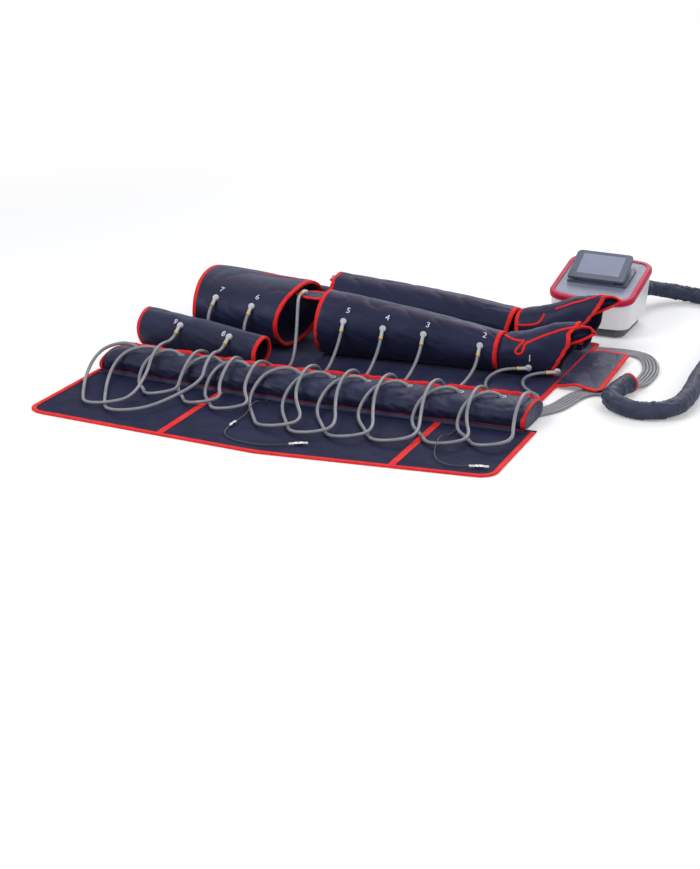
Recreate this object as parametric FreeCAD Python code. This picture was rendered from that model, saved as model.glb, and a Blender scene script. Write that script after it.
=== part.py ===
import FreeCAD
import Part
import math
import os

os.makedirs("parts", exist_ok=True)

# All lengths are in millimetres. The console's own centre is the drawing origin;
# the whole set is moved by rowShift when it is written, so that the row's origin
# is the middle of everything that lies on the table.
rowShift = FreeCAD.Vector(508.81, 727.96, 0)

# Console
topTilt = 12.0            # the top slopes up towards the back
topMiddle = 166.5         # height of the trim's top at the middle
trimWidth = 284.0
trimDepth = 318.0
trimCorner = 52.0
trimBow = 9.0             # how far the front and back edges bow out
trimHeight = 18.0
trimRim = 17.0            # width of the trim seen from above
bodyWall = 3.0
bodyBottom = 36.0
bodyBottomWidth = 262.0
bodyBottomDepth = 292.0
plinthWidth = 226.0
plinthDepth = 250.0
footHeight = 5.0
displayWidth = 190.0
displayDepth = 140.0
displayTilt = 14.0        # above the top panel
displayMiddle = -6.0
hingeY = -46.0            # on the slope, from its middle
hingeZ = 7.0
pinRadius = 2.5
pinClearance = 0.05
bayZ = 88.0               # middle of the connector bay in the back
bayPlateY = 136.0
fanX = -52.0
inletX = 10.0
socketX = 66.0
loomRadius = 28.0

# Garment
wallThickness = 8.0
matThickness = 6.0
skirtThickness = 5.0
clearance = 0.4
hoseRadius = 5.0
leadRadius = 1.5
elbowRadius = 10.0
stemRadius = 5.5
eyeletRadius = 11.0

pieces = {}


def vec(x, y, z):
    return FreeCAD.Vector(x, y, z)


def add(node, shape):
    pieces.setdefault(node, []).append(shape)


def box(x0, x1, y0, y1, z0, z1):
    return Part.makeBox(x1 - x0, y1 - y0, z1 - z0, vec(x0, y0, z0))


def rod(start, direction, length, radius):
    return Part.makeCylinder(radius, length, start, direction)


def tubeRing(start, direction, length, outer, inner):
    body = rod(start, direction, length, outer)
    bore = rod(start - direction * 1.0, direction, length + 2.0, inner)
    return body.cut(bore)


def roundedOutline(width, depth, corner, bow, z):
    """A closed outline with round corners and front and back edges that bow out."""
    hw = width / 2
    hd = depth / 2
    k = corner * (1 - math.sqrt(0.5))
    edges = []
    edges.append(Part.Arc(vec(-hw + corner, -hd, z), vec(0, -hd - bow, z), vec(hw - corner, -hd, z)))
    edges.append(Part.Arc(vec(hw - corner, -hd, z), vec(hw - k, -hd + k, z), vec(hw, -hd + corner, z)))
    edges.append(Part.LineSegment(vec(hw, -hd + corner, z), vec(hw, hd - corner, z)))
    edges.append(Part.Arc(vec(hw, hd - corner, z), vec(hw - k, hd - k, z), vec(hw - corner, hd, z)))
    edges.append(Part.Arc(vec(hw - corner, hd, z), vec(0, hd + bow, z), vec(-hw + corner, hd, z)))
    edges.append(Part.Arc(vec(-hw + corner, hd, z), vec(-hw + k, hd - k, z), vec(-hw, hd - corner, z)))
    edges.append(Part.LineSegment(vec(-hw, hd - corner, z), vec(-hw, -hd + corner, z)))
    edges.append(Part.Arc(vec(-hw, -hd + corner, z), vec(-hw + k, -hd + k, z), vec(-hw + corner, -hd, z)))
    return Part.Wire([edge.toShape() for edge in edges])


def roundedPlate(width, depth, corner, bow, z0, z1):
    face = Part.Face(roundedOutline(width, depth, corner, bow, z0))
    return face.extrude(vec(0, 0, z1 - z0))


def roundedBox(x0, x1, y0, y1, z0, z1, radius):
    """A box with its upright edges rounded."""
    block = box(x0, x1, y0, y1, z0, z1)
    upright = [e for e in block.Edges if abs(e.tangentAt(e.FirstParameter).z) > 0.9]
    return block.makeFillet(radius, upright)


slope = FreeCAD.Placement(vec(0, 0, topMiddle), FreeCAD.Rotation(vec(1, 0, 0), topTilt))
lid = slope.multiply(
    FreeCAD.Placement(vec(displayMiddle, hingeY, hingeZ), FreeCAD.Rotation(vec(1, 0, 0), displayTilt))
)


def onSlope(shape):
    shape.Placement = slope.multiply(shape.Placement)
    return shape


def onLid(shape):
    shape.Placement = lid.multiply(shape.Placement)
    return shape


# ---- console ----


def makeFeet():
    for x in (-85, 85):
        for y in (-98, 98):
            foot = Part.makeCone(11, 13, footHeight - clearance, vec(x, y, 0))
            stem = rod(vec(x, y, footHeight - clearance), vec(0, 0, 1), 5.0, 4.0)
            add("rubber_feet", foot.fuse(stem))


def makePlinth():
    """An open tray that carries the housing a little above the table."""
    tray = roundedPlate(plinthWidth, plinthDepth, 36, 4, footHeight, bodyBottom - 0.3)
    hollow = roundedPlate(plinthWidth - 8, plinthDepth - 8, 32, 4, footHeight + 4, bodyBottom + 5)
    tray = tray.cut(hollow)
    for x in (-85, 85):
        for y in (-98, 98):
            tray = tray.cut(rod(vec(x, y, footHeight - 2), vec(0, 0, 1), 8.0, 4.1))
    for x in range(-60, 61, 24):
        tray = tray.cut(box(x - 4, x + 4, -60, 60, footHeight - 1, footHeight + 5))
    for x in (-70, 70):
        for y in (-75, 75):
            boss = rod(vec(x, y, footHeight + 4), vec(0, 0, 1), bodyBottom - footHeight - 4.3, 7.0)
            boss = boss.cut(rod(vec(x, y, footHeight), vec(0, 0, 1), 60.0, 2.2))
            tray = tray.fuse(boss)
            tray = tray.cut(rod(vec(x, y, footHeight - 1), vec(0, 0, 1), 8.0, 2.2))
            tray = tray.cut(rod(vec(x, y, footHeight - 1), vec(0, 0, 1), 3.2, 4.3))
    add("base_plinth", tray)


def housingSolid(inset, floorZ, topGap):
    lower = roundedOutline(
        bodyBottomWidth - 2 * inset, bodyBottomDepth - 2 * inset, 46 - inset, 6, floorZ
    )
    upper = roundedOutline(
        trimWidth - 8 - 2 * inset, trimDepth - 8 - 2 * inset, trimCorner - 4 - inset, trimBow, topGap
    )
    upper.Placement = slope
    return Part.makeLoft([lower, upper], True, True)


def makeHousing():
    """The white shell: open on top under the trim, with a bay for connectors in the back."""
    shell = housingSolid(0, bodyBottom, -trimHeight - 0.2)
    shell = shell.cut(housingSolid(bodyWall, bodyBottom + bodyWall, 4))
    shell = shell.cut(box(-92, 98, 118, 175, bayZ - 37, bayZ + 37))
    for x in (-70, 70):
        for y in (-75, 75):
            shell = shell.cut(rod(vec(x, y, bodyBottom - 1), vec(0, 0, 1), 8.0, 2.2))
    add("housing_shell", shell)


def makeTrim():
    """The red ring round the top, with a ledge inside that the top panel rests on."""
    ring = roundedPlate(trimWidth, trimDepth, trimCorner, trimBow, -trimHeight, -4.5)
    bevel = Part.makeLoft([
        roundedOutline(trimWidth, trimDepth, trimCorner, trimBow, -4.5),
        roundedOutline(trimWidth - 9, trimDepth - 9, trimCorner - 4.5, trimBow, 0),
    ], True, True)
    ring = ring.fuse(bevel)
    ring = ring.cut(roundedPlate(
        trimWidth - 2 * trimRim, trimDepth - 2 * trimRim, trimCorner - trimRim, trimBow, -6.2, 2))
    ring = ring.cut(roundedPlate(
        trimWidth - 2 * trimRim - 14, trimDepth - 2 * trimRim - 14,
        trimCorner - trimRim - 7, trimBow, -trimHeight - 1, 2))
    add("trim_ring", onSlope(ring))


def makeTopPanel():
    panel = roundedPlate(
        trimWidth - 2 * trimRim - 1, trimDepth - 2 * trimRim - 1, trimCorner - trimRim - 0.5,
        trimBow, -6.0, -3.2)
    panel = panel.cut(roundedBox(-60, 48, -20, 60, -8, -1, 6))
    add("top_panel", onSlope(panel))


def makeCradle():
    """The dark tray on the top panel, with the two outer knuckles of the display's hinge."""
    tray = roundedBox(-103, 97, -55, 84, -3.0, 5.0, 9)
    tray = tray.cut(roundedBox(-60, 48, -20, 60, -4, 6, 6))
    tray = tray.cut(box(displayMiddle - 64, displayMiddle + 64, hingeY - 7, hingeY + 7, 1, 6))
    axisStart = vec(displayMiddle, hingeY, hingeZ)
    for side in (-1, 1):
        middle = displayMiddle + side * 56
        lug = rod(vec(middle - 5, hingeY, hingeZ), vec(1, 0, 0), 10, 5.0)
        post = box(middle - 5, middle + 5, hingeY - 5, hingeY + 5, 0, hingeZ)
        tray = tray.fuse(lug.fuse(post))
    tray = tray.cut(rod(axisStart - vec(70, 0, 0), vec(1, 0, 0), 140, pinRadius))
    add("display_cradle", onSlope(tray))


def makeGusset():
    """The light wedge between tray and display that the display rests on."""
    rise = math.tan(math.radians(displayTilt))
    lift = 5.5 / math.cos(math.radians(displayTilt))
    y0 = -18.0
    y1 = 76.0
    z0 = hingeZ + lift + (y0 - hingeY) * rise - 0.3
    z1 = hingeZ + lift + (y1 - hingeY) * rise - 0.3
    x0 = -84.0
    x1 = 80.0
    outline = [vec(x0, y0, 5.2), vec(x0, y1, 5.2), vec(x0, y1, z1), vec(x0, y0, z0), vec(x0, y0, 5.2)]
    wedge = Part.Face(Part.makePolygon(outline)).extrude(vec(x1 - x0, 0, 0))
    wedge = wedge.cut(box(x0 + 3, x1 - 3, y0 + 3, y1 - 3, 4, z0 - 3))
    wedge = wedge.cut(box(x0 + 3, x1 - 3, y0 + 45, y1 - 3, 4, z0 + 8))
    add("display_gusset", onSlope(wedge))


def makeHingePin():
    pin = rod(vec(displayMiddle - 62, hingeY, hingeZ), vec(1, 0, 0), 124, pinRadius)
    add("display_hinge_pin", onSlope(pin))


def makeDisplay():
    """A flat touch display in its own case: frame, glass and back with the hinge barrel."""
    hw = displayWidth / 2
    front = -6.0
    rear = displayDepth - 6.0
    frame = box(-hw, hw, front, rear, 5.5, 15.0)
    upright = [e for e in frame.Edges if abs(e.tangentAt(e.FirstParameter).z) > 0.9]
    rearEdges = [e for e in upright if e.CenterOfMass.y > 50]
    frontEdges = [e for e in upright if e.CenterOfMass.y < 50]
    frame = frame.makeFillet(16, rearEdges)
    upright = [e for e in frame.Edges if abs(e.tangentAt(e.FirstParameter).z) > 0.9]
    frontEdges = [e for e in upright if e.CenterOfMass.y < 10]
    frame = frame.makeFillet(6, frontEdges)
    top = [e for e in frame.Edges if abs(e.BoundBox.ZMin - 15) < 0.01]
    frame = frame.makeChamfer(1.2, top)
    frame = frame.cut(roundedBox(-hw + 3, hw - 3, front + 3, rear - 3, 4, 13.0, 5))
    frame = frame.cut(box(-71, 72, 17, 119, 12, 16))
    add("display_frame", onLid(frame))
    glass = box(-70.7, 71.7, 17.3, 118.7, 13.2, 14.6)
    lip = roundedBox(-80, 81, 10, 126, 11.2, 12.8, 3)
    add("display_glass", onLid(glass.fuse(lip).fuse(box(-70, 71, 18, 118, 12.5, 13.5))))
    back = roundedBox(-hw + 3.3, hw - 3.3, front + 3.3, rear - 3.3, 5.5, 8.0, 5.5)
    barrel = rod(vec(-50.5, 0, 0), vec(1, 0, 0), 101, 4.8)
    web = box(-50.5, 50.5, -2.7, 3.5, 0, 6)
    back = back.fuse(barrel.fuse(web))
    back = back.cut(rod(vec(-60, 0, 0), vec(1, 0, 0), 120, pinRadius + pinClearance))
    add("display_back", onLid(back))


def makeRearPanel():
    """The plate in the bay that carries fan, mains inlet and hose socket."""
    plate = box(-96, 102, bayPlateY, bayPlateY + 2.5, bayZ - 40, bayZ + 33)
    plate = plate.cut(rod(vec(fanX, bayPlateY - 2, bayZ), vec(0, 1, 0), 8, 27.0))
    plate = plate.cut(box(inletX - 14, inletX + 14, bayPlateY - 2, bayPlateY + 6, bayZ - 26, bayZ + 26))
    plate = plate.cut(rod(vec(socketX, bayPlateY - 2, bayZ - 6), vec(0, 1, 0), 8, 23.2))
    for dx in (-25, 25):
        for dz in (-25, 25):
            plate = plate.cut(rod(vec(fanX + dx, bayPlateY - 2, bayZ + dz), vec(0, 1, 0), 8, 1.7))
    add("rear_panel", plate)


def makeFan():
    """A 60 mm fan behind the plate: square frame with spokes, and the rotor on its hub pin."""
    y0 = bayPlateY - 20.3
    y1 = bayPlateY - 0.3
    frame = box(fanX - 30, fanX + 30, y0, y1, bayZ - 30, bayZ + 30)
    frame = frame.cut(rod(vec(fanX, y0 - 2, bayZ), vec(0, 1, 0), 30, 28.0))
    for dx in (-25, 25):
        for dz in (-25, 25):
            frame = frame.cut(rod(vec(fanX + dx, y0 - 2, bayZ + dz), vec(0, 1, 0), 30, 1.7))
    hub = rod(vec(fanX, y0, bayZ), vec(0, 1, 0), 3.0, 10.0)
    pin = rod(vec(fanX, y0 + 2, bayZ), vec(0, 1, 0), 14.0, 1.5)
    frame = frame.fuse(hub.fuse(pin))
    for turn in range(4):
        spoke = box(fanX + 8, fanX + 29, y0, y0 + 3, bayZ - 1.5, bayZ + 1.5)
        spoke.rotate(vec(fanX, 0, bayZ), vec(0, 1, 0), turn * 90 + 45)
        frame = frame.fuse(spoke)
    add("fan_frame", frame)
    ry0 = y0 + 4.0
    rotor = rod(vec(fanX, ry0, bayZ), vec(0, 1, 0), 13.0, 10.0)
    for turn in range(7):
        blade = box(fanX + 9, fanX + 26.5, ry0 + 1, ry0 + 12, bayZ - 0.8, bayZ + 0.8)
        blade.rotate(vec(fanX, ry0 + 6.5, bayZ), vec(1, 0, 0), 35)
        blade.rotate(vec(fanX, 0, bayZ), vec(0, 1, 0), turn * 360.0 / 7)
        rotor = rotor.fuse(blade)
    rotor = rotor.cut(rod(vec(fanX, ry0 - 1, bayZ), vec(0, 1, 0), 13.0, 1.5 + pinClearance))
    add("fan_rotor", rotor)


def makeFanGuard():
    y0 = bayPlateY + 2.6
    guard = tubeRing(vec(fanX, y0, bayZ), vec(0, 1, 0), 2.0, 28.5, 25.5)
    for radius in (8, 17):
        guard = guard.fuse(tubeRing(vec(fanX, y0, bayZ), vec(0, 1, 0), 2.0, radius + 1.2, radius - 1.2))
    for turn in range(4):
        bar = box(fanX + 7, fanX + 36, y0, y0 + 2, bayZ - 1.2, bayZ + 1.2)
        ear = tubeRing(vec(fanX + 35.4, y0, bayZ), vec(0, 1, 0), 2.0, 3.6, 1.7)
        arm = bar.cut(rod(vec(fanX + 35.4, y0 - 1, bayZ), vec(0, 1, 0), 4, 1.7)).fuse(ear)
        arm.rotate(vec(fanX, 0, bayZ), vec(0, 1, 0), turn * 90 + 45)
        guard = guard.fuse(arm)
    add("fan_guard", guard)


def makeInlet():
    """The mains inlet with its power switch above, one module held by the plate."""
    y0 = bayPlateY - 24.0
    flange = box(inletX - 17, inletX + 17, bayPlateY + 2.7, bayPlateY + 5.2, bayZ - 30, bayZ + 30)
    body = box(inletX - 13.5, inletX + 13.5, y0, bayPlateY + 4, bayZ - 25.5, bayZ + 25.5)
    module = flange.fuse(body)
    module = module.cut(box(inletX - 12, inletX + 12, bayPlateY - 14, bayPlateY + 8, bayZ - 22, bayZ - 3))
    for dx in (-7, 0, 7):
        pinZ = bayZ - 10 if dx == 0 else bayZ - 14
        blade = box(inletX + dx - 1, inletX + dx + 1, bayPlateY - 16, bayPlateY + 1, pinZ - 2, pinZ + 2)
        module = module.fuse(blade)
    module = module.cut(box(inletX - 11, inletX + 11, bayPlateY - 14, bayPlateY + 8, bayZ + 2, bayZ + 23))
    module = module.fuse(rod(vec(inletX - 12, bayPlateY - 3, bayZ + 12.5), vec(1, 0, 0), 24, 1.2))
    add("mains_inlet", module)


def makeRocker():
    """The rocker turns on the pin through its middle; at rest its upper half is pressed in."""
    yc = bayPlateY - 3.0
    zc = bayZ + 12.5
    cap = box(inletX - 10.2, inletX + 10.2, yc - 2, yc + 7.5, zc - 8.2, zc + 8.2)
    core = rod(vec(inletX - 10.2, yc, zc), vec(1, 0, 0), 20.4, 3.6)
    cap = cap.fuse(core)
    groove = rod(vec(inletX - 12, yc + 30.0, zc), vec(1, 0, 0), 24, 24.0)
    cap = cap.cut(groove)
    cap = cap.cut(rod(vec(inletX - 12, yc, zc), vec(1, 0, 0), 24, 1.2 + pinClearance))
    cap.rotate(vec(inletX, yc, zc), vec(1, 0, 0), 7)
    add("power_rocker", cap)


def makeSocket():
    """The panel-mounted socket for the hose plug, with a bore for each hose."""
    z = bayZ - 6
    flange = rod(vec(socketX, bayPlateY + 2.7, z), vec(0, 1, 0), 3.0, 27.0)
    neck = rod(vec(socketX, bayPlateY - 14, z), vec(0, 1, 0), 17.0, 23.0)
    socket = flange.fuse(neck)
    for turn in range(6):
        angle = math.radians(60 * turn)
        at = vec(socketX + 14 * math.cos(angle), bayPlateY - 16, z + 14 * math.sin(angle))
        socket = socket.cut(rod(at, vec(0, 1, 0), 30, 3.2))
    for turn in range(2):
        angle = math.radians(180 * turn + 15)
        at = vec(socketX + 5 * math.cos(angle), bayPlateY - 16, z + 5 * math.sin(angle))
        socket = socket.cut(rod(at, vec(0, 1, 0), 30, 3.2))
    add("hose_socket", socket)


def makeChassis():
    """The steel plate over the housing floor that everything inside is screwed to."""
    z0 = bodyBottom + bodyWall + 0.4
    plate = roundedBox(-105, 105, -125, 108, z0, z0 + 2, 24)
    for x in (-70, 70):
        for y in (-75, 75):
            plate = plate.cut(rod(vec(x, y, z0 - 1), vec(0, 0, 1), 6, 2.2))
    for x in (-74, -26):
        for y in (-50, 30):
            plate = plate.cut(rod(vec(x, y, z0 - 1), vec(0, 0, 1), 6, 3.0))
    add("chassis_plate", plate)


def makeScrews():
    """Four long screws through plinth and housing floor into nuts on the chassis plate."""
    z0 = footHeight + 0.4
    top = bodyBottom + bodyWall + 2.4
    for x in (-70, 70):
        for y in (-75, 75):
            head = rod(vec(x, y, z0), vec(0, 0, 1), 1.7, 4.0)
            shank = rod(vec(x, y, z0), vec(0, 0, 1), top - z0 + 4.5, 2.0)
            add("case_screws", head.fuse(shank))
            nut = tubeRing(vec(x, y, top + 0.1), vec(0, 0, 1), 3.2, 4.2, 2.05)
            add("case_screws", nut)


def makeCompressor():
    """A linear diaphragm air pump: body on four rubber mounts and a head with its outlet."""
    base = bodyBottom + bodyWall + 2.4
    for x in (-74, -26):
        for y in (-50, 30):
            neck = rod(vec(x, y, base - 2.3), vec(0, 0, 1), 4.0, 2.8)
            pad = rod(vec(x, y, base + 0.2), vec(0, 0, 1), 7.8, 6.0)
            add("compressor_mounts", neck.fuse(pad))
    z0 = base + 8.2
    body = roundedBox(-84, -16, -62, 42, z0, z0 + 44, 8)
    for y in range(-50, 35, 14):
        body = body.cut(box(-86, -14, y, y + 5, z0 + 38, z0 + 46))
    add("compressor_body", body)
    head = roundedBox(-15.6, 4, -42, 22, z0 + 6, z0 + 36, 3)
    outlet = rod(vec(3, -10, z0 + 24), vec(1, 0, 0), 15, 5.0)
    outlet = outlet.cut(rod(vec(5, -10, z0 + 24), vec(1, 0, 0), 16, 3.0))
    add("compressor_head", head.fuse(outlet))


def makeManifold():
    """The valve block that shares the air between the hoses, and a coil on each valve."""
    base = bodyBottom + bodyWall + 2.6
    block = box(36, 96, -66, 68, base, base + 24)
    for index in range(5):
        y = -52 + index * 26
        for x in (50, 80):
            block = block.cut(rod(vec(x, y, base + 8), vec(0, 0, 1), 20, 4.0))
            coil = rod(vec(x, y, base + 24.3), vec(0, 0, 1), 20, 9.5)
            core = rod(vec(x, y, base + 8.3), vec(0, 0, 1), 40, 3.8)
            add("valve_coils", coil.fuse(core))
    block = block.cut(rod(vec(30, -10, base + 14), vec(1, 0, 0), 15, 4.0))
    add("valve_manifold", block)


def makeBoard():
    """The control board stands on posts at the front, with its larger parts on it."""
    base = bodyBottom + bodyWall + 2.5
    board = box(-80, 84, -118, -76, base + 8, base + 9.6)
    for x in (-74, 78):
        for y in (-112, -82):
            board = board.fuse(rod(vec(x, y, base), vec(0, 0, 1), 8.4, 3.0))
    for x0, x1, y0, y1, tall in (
        (-60, -34, -110, -88, 3), (-20, -8, -112, -92, 9), (4, 24, -108, -88, 5),
        (40, 66, -112, -98, 11), (44, 60, -92, -84, 7), (-76, -66, -104, -92, 8),
    ):
        board = board.fuse(box(x0, x1, y0, y1, base + 9.4, base + 9.6 + tall))
    add("control_board", board)


def makePowerSupply():
    base = bodyBottom + bodyWall + 2.6
    supply = box(-62, 30, 56, 100, base, base + 2.0)
    cage = box(-62, 30, 56, 100, base, base + 14).cut(box(-60, 28, 58, 98, base + 2, base + 20))
    supply = supply.fuse(cage)
    for x in (-48, -26, -4, 18):
        supply = supply.fuse(rod(vec(x, 78, base + 1), vec(0, 0, 1), 12, 8.0))
    add("power_supply", supply)


# ---- garment ----


def prism(points, z0, z1, corner=0.0):
    """A flat slab with the given outline; corner rounds its upright edges."""
    outline = [vec(x, y, z0) for x, y in points]
    slab = Part.Face(Part.makePolygon(outline + outline[:1])).extrude(vec(0, 0, z1 - z0))
    if corner:
        upright = [e for e in slab.Edges if abs(e.tangentAt(e.FirstParameter).z) > 0.9]
        slab = slab.makeFillet(corner, upright)
    return slab


def ovalAt(x, y, z, halfWidth, halfHeight):
    """An upright oval across the X axis, as one closed edge that starts at its far side."""
    points = []
    for step in range(24):
        angle = math.radians(15 * step)
        points.append(vec(x, y + halfWidth * math.cos(angle), z + halfHeight * math.sin(angle)))
    curve = Part.BSplineCurve()
    curve.interpolate(Points=points, PeriodicFlag=True)
    return Part.Wire([curve.toShape()])


def stretched(sections, inset, extra):
    """The sections made smaller by inset, with both ends moved out by extra."""
    rows = [list(row) for row in sections]
    for row in rows:
        row[3] -= inset
        row[4] -= inset
    if extra:
        for end, other in ((0, 1), (-1, -2)):
            share = extra / abs(rows[end][0] - rows[other][0])
            rows[end] = [a + (a - b) * share for a, b in zip(rows[end], rows[other])]
    return rows


def ovalLoft(sections):
    return Part.makeLoft([ovalAt(*row) for row in sections], True, True)


def makeWrap(node, sections):
    """A padded sleeve, open at both ends; each section is x, y, z, half width, half height."""
    sleeve = ovalLoft(stretched(sections, 0, 0))
    sleeve = sleeve.cut(ovalLoft(stretched(sections, wallThickness, 6.0)))
    add(node, sleeve)


waist = [
    (-1112, -657, 112, 170, 103), (-950, -661, 110, 172, 101), (-776, -672, 108, 168, 100),
]
nearLeg = [
    (-684, -706, 106, 103, 99), (-400, -668, 90, 86, 82), (-130, -636, 68, 66, 60),
]
farLeg = [
    (-736, -496, 107, 99, 99), (-430, -424, 90, 86, 82), (-165, -362, 68, 66, 60),
]
nearFoot = [
    (-122, -635, 68, 66, 60), (-50, -630, 76, 64, 68), (20, -622, 90, 58, 82), (78, -612, 98, 52, 84),
]
farFoot = [
    (-157, -360, 68, 66, 60), (-70, -350, 80, 64, 72), (10, -342, 98, 58, 88), (86, -336, 108, 52, 90),
]
nearArm = [
    (-1214, -907, 76, 60, 56), (-1000, -956, 76, 60, 56), (-757, -1010, 72, 56, 52),
]
farArm = [
    (-1190, -372, 70, 52, 56), (-980, -376, 70, 52, 56), (-770, -384, 66, 48, 52),
]


def sectionAt(sections, x):
    for a, b in zip(sections, sections[1:]):
        if a[0] <= x <= b[0]:
            share = (x - a[0]) / (b[0] - a[0])
            return [p + (q - p) * share for p, q in zip(a, b)]
    raise ValueError(x)


def ovalPoint(sections, x, angle):
    _, y, z, halfWidth, halfHeight = sectionAt(sections, x)
    return vec(x, y - halfWidth * math.cos(angle), z + halfHeight * math.sin(angle))


def onSurface(sections, x, height):
    """The point on a sleeve's near side at that height, and the direction straight out of it."""
    z, halfHeight = sectionAt(sections, x)[2:5:2]
    angle = math.asin((height - z) / halfHeight)
    point = ovalPoint(sections, x, angle)
    along = ovalPoint(sections, x + 1, angle) - point
    up = ovalPoint(sections, x, angle + 0.01) - point
    out = along.cross(up)
    out.normalize()
    return point, out


matOutline = [
    (-1222, -1030), (-505, -1055), (66, -902), (66, -214), (-170, -236), (-1222, -300),
]
skirtOutline = [
    (-1224, -1174), (-500, -1184), (131, -1114), (136, -1518), (-500, -1624), (-1220, -1604),
]
channelSections = [
    (-1216, -1126, 34, 74, 33.6), (-760, -1139, 35, 73, 34.6), (-500, -1124, 35, 86, 34.6),
    (104, -1058, 35, 90, 34.6),
]
padOutline = [(86, -726), (92, -322), (190, -330), (207, -728)]


def makeMat():
    add("base_mat", prism(matOutline, 0, matThickness, 12))


def makeSkirt():
    slab = prism(skirtOutline, 0, skirtThickness)
    outer = [
        e for e in slab.Edges
        if abs(e.tangentAt(e.FirstParameter).z) > 0.9 and e.CenterOfMass.y < -1400
        and abs(e.CenterOfMass.x + 500) > 300
    ]
    add("skirt_panel", slab.makeFillet(55, outer))


def makeChannel():
    """The padded channel along the near side that the hoses run in."""
    roll = ovalLoft([(x, y, z, w, h) for x, y, z, w, h in channelSections])
    add("near_channel", roll)


def makePad():
    add("end_pad", prism(padOutline, 12.0, 20.0, 14))
    add("end_pad", prism([(100, -700), (104, -350), (120, -350), (116, -700)], 0, 11.6))


def makeHipPads():
    """Two stiff tongues that reach from inside the thigh sleeves over the hips."""
    near = prism([(-640, -660), (-640, -730), (-742, -738), (-790, -716), (-790, -676), (-742, -652)],
                 183, 188, 10)
    far = prism([(-672, -452), (-672, -516), (-742, -522), (-764, -500), (-764, -466), (-742, -448)],
                183, 188, 10)
    add("hip_pads", near.translated(vec(0, 0, -6)))
    add("hip_pads", far.translated(vec(0, 0, -6)))


# name, sleeve, x, height on the sleeve, direction of the stem along the sleeve
elbowPlaces = {
    "hose_1": (nearFoot, -31, 44, (-1.0, -0.2, -0.1)),
    "hose_2": (nearLeg, -180, 96, None),
    "hose_3": (nearLeg, -351, 116, None),
    "hose_4": (nearLeg, -474, 124, None),
    "hose_5": (nearLeg, -595, 136, None),
    "hose_6": (waist, -888, 152, None),
    "hose_7": (waist, -1016, 160, None),
    "hose_8": (nearArm, -863, 112, None),
    "hose_9": (nearArm, -1046, 113, None),
    "hose_foot": (nearFoot, 52, 38, (-0.9, -0.3, -0.1)),
}
ends = {}


def makeElbow(name, point, out, along):
    """A round cap on the sleeve with its stem to one side and a coloured ring at the hose."""
    cap = rod(point + out * 0.6, out, 9.0, elbowRadius)
    top = [e for e in cap.Edges if (e.CenterOfMass - point).dot(out) > 8 and len(e.Vertexes) == 1]
    cap = cap.makeFillet(3.0, top)
    middle = point + out * 6.2
    stem = rod(middle, along, 27.0, stemRadius)
    add("air_elbows", cap.fuse(stem))
    ringStart = middle + along * 27.1
    add("elbow_rings", rod(ringStart, along, 6.0, 6.2))
    ends[name] = (ringStart + along * 6.1, along)


def makeElbows():
    for name, (sections, x, height, lean) in elbowPlaces.items():
        point, out = onSurface(sections, x, height)
        down = vec(*lean) if lean else out.cross(vec(-1, 0, 0)) + out * 0.18
        down.normalize()
        makeElbow(name, point, out, down)
    makeElbow("hose_hip", vec(-766, -694, 182.0), vec(0, 0, 1), vec(0.1, -1, 0).normalize())
    cap = rod(vec(-751, -488, 182.6), vec(0, 0, 1), 9.0, elbowRadius)
    stem = rod(vec(-751, -488, 188.2), vec(1, 0.05, 0), 24.0, stemRadius)
    add("air_elbows", cap.fuse(stem))


def channelTop(x):
    """Middle line, height of the top and half width of the channel there."""
    x = min(max(x, channelSections[0][0]), channelSections[-1][0])
    _, y, z, halfWidth, halfHeight = sectionAt(channelSections, x)
    return y, z + halfHeight, halfWidth


def makeEyelet(x, y, z):
    add("eyelets", tubeRing(vec(x, y, z), vec(0, 0, 1), 1.5, eyeletRadius, 8.0))


# ---- cords ----


def cordPath(points):
    """Straight runs joined by tangent arcs, each as large as its two runs allow."""
    edges = []
    radii = []
    here = points[0]
    for before, corner, after in zip(points, points[1:], points[2:]):
        first = corner - before
        second = after - corner
        a = first.Length
        b = second.Length
        first.normalize()
        second.normalize()
        half = first.getAngle(second) / 2
        cut = 0.45 * min(a, b)
        radius = cut / math.tan(half)
        start = corner - first * cut
        end = corner + second * cut
        inward = second - first
        inward.normalize()
        bulge = radius / math.cos(half) - radius
        edges.append(Part.LineSegment(here, start).toShape())
        edges.append(Part.Arc(start, corner + inward * bulge, end).toShape())
        radii.append(radius)
        here = end
    edges.append(Part.LineSegment(here, points[-1]).toShape())
    return Part.Wire(edges), radii


def cordTube(name, points, radius):
    path, radii = cordPath(points)
    direction = points[1] - points[0]
    circle = Part.Wire([Part.Circle(points[0], direction, radius).toShape()])
    tube = path.makePipeShell([circle], True, True)
    full = math.pi * radius * radius * path.Length
    print("%s: %.0f mm long, smallest radius %.0f, volume share %.3f" % (
        name, path.Length, min(radii), tube.Volume / full))
    return tube


def drape(name, cross, halfWidth):
    """From an elbow down on to the mat and up to where the hose crosses the channel."""
    start, along = ends[name]
    first = start + along * 28.0
    low = matThickness + hoseRadius + 0.6
    far = cross.y + halfWidth + 2
    gap = first.y - far
    side = cross.x - first.x
    floor = max(low, min(30.0, first.z * 0.30))
    return [
        start, first,
        vec(first.x + 0.08 * side, first.y - 0.22 * gap, max(floor + 4, first.z * 0.52)),
        vec(first.x + 0.36 * side, first.y - 0.52 * gap, floor),
        vec(first.x + 0.80 * side, first.y - 0.86 * gap, floor + 8),
        vec(cross.x - 0.02 * side, far - 8, cross.z - 20),
    ]


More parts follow.
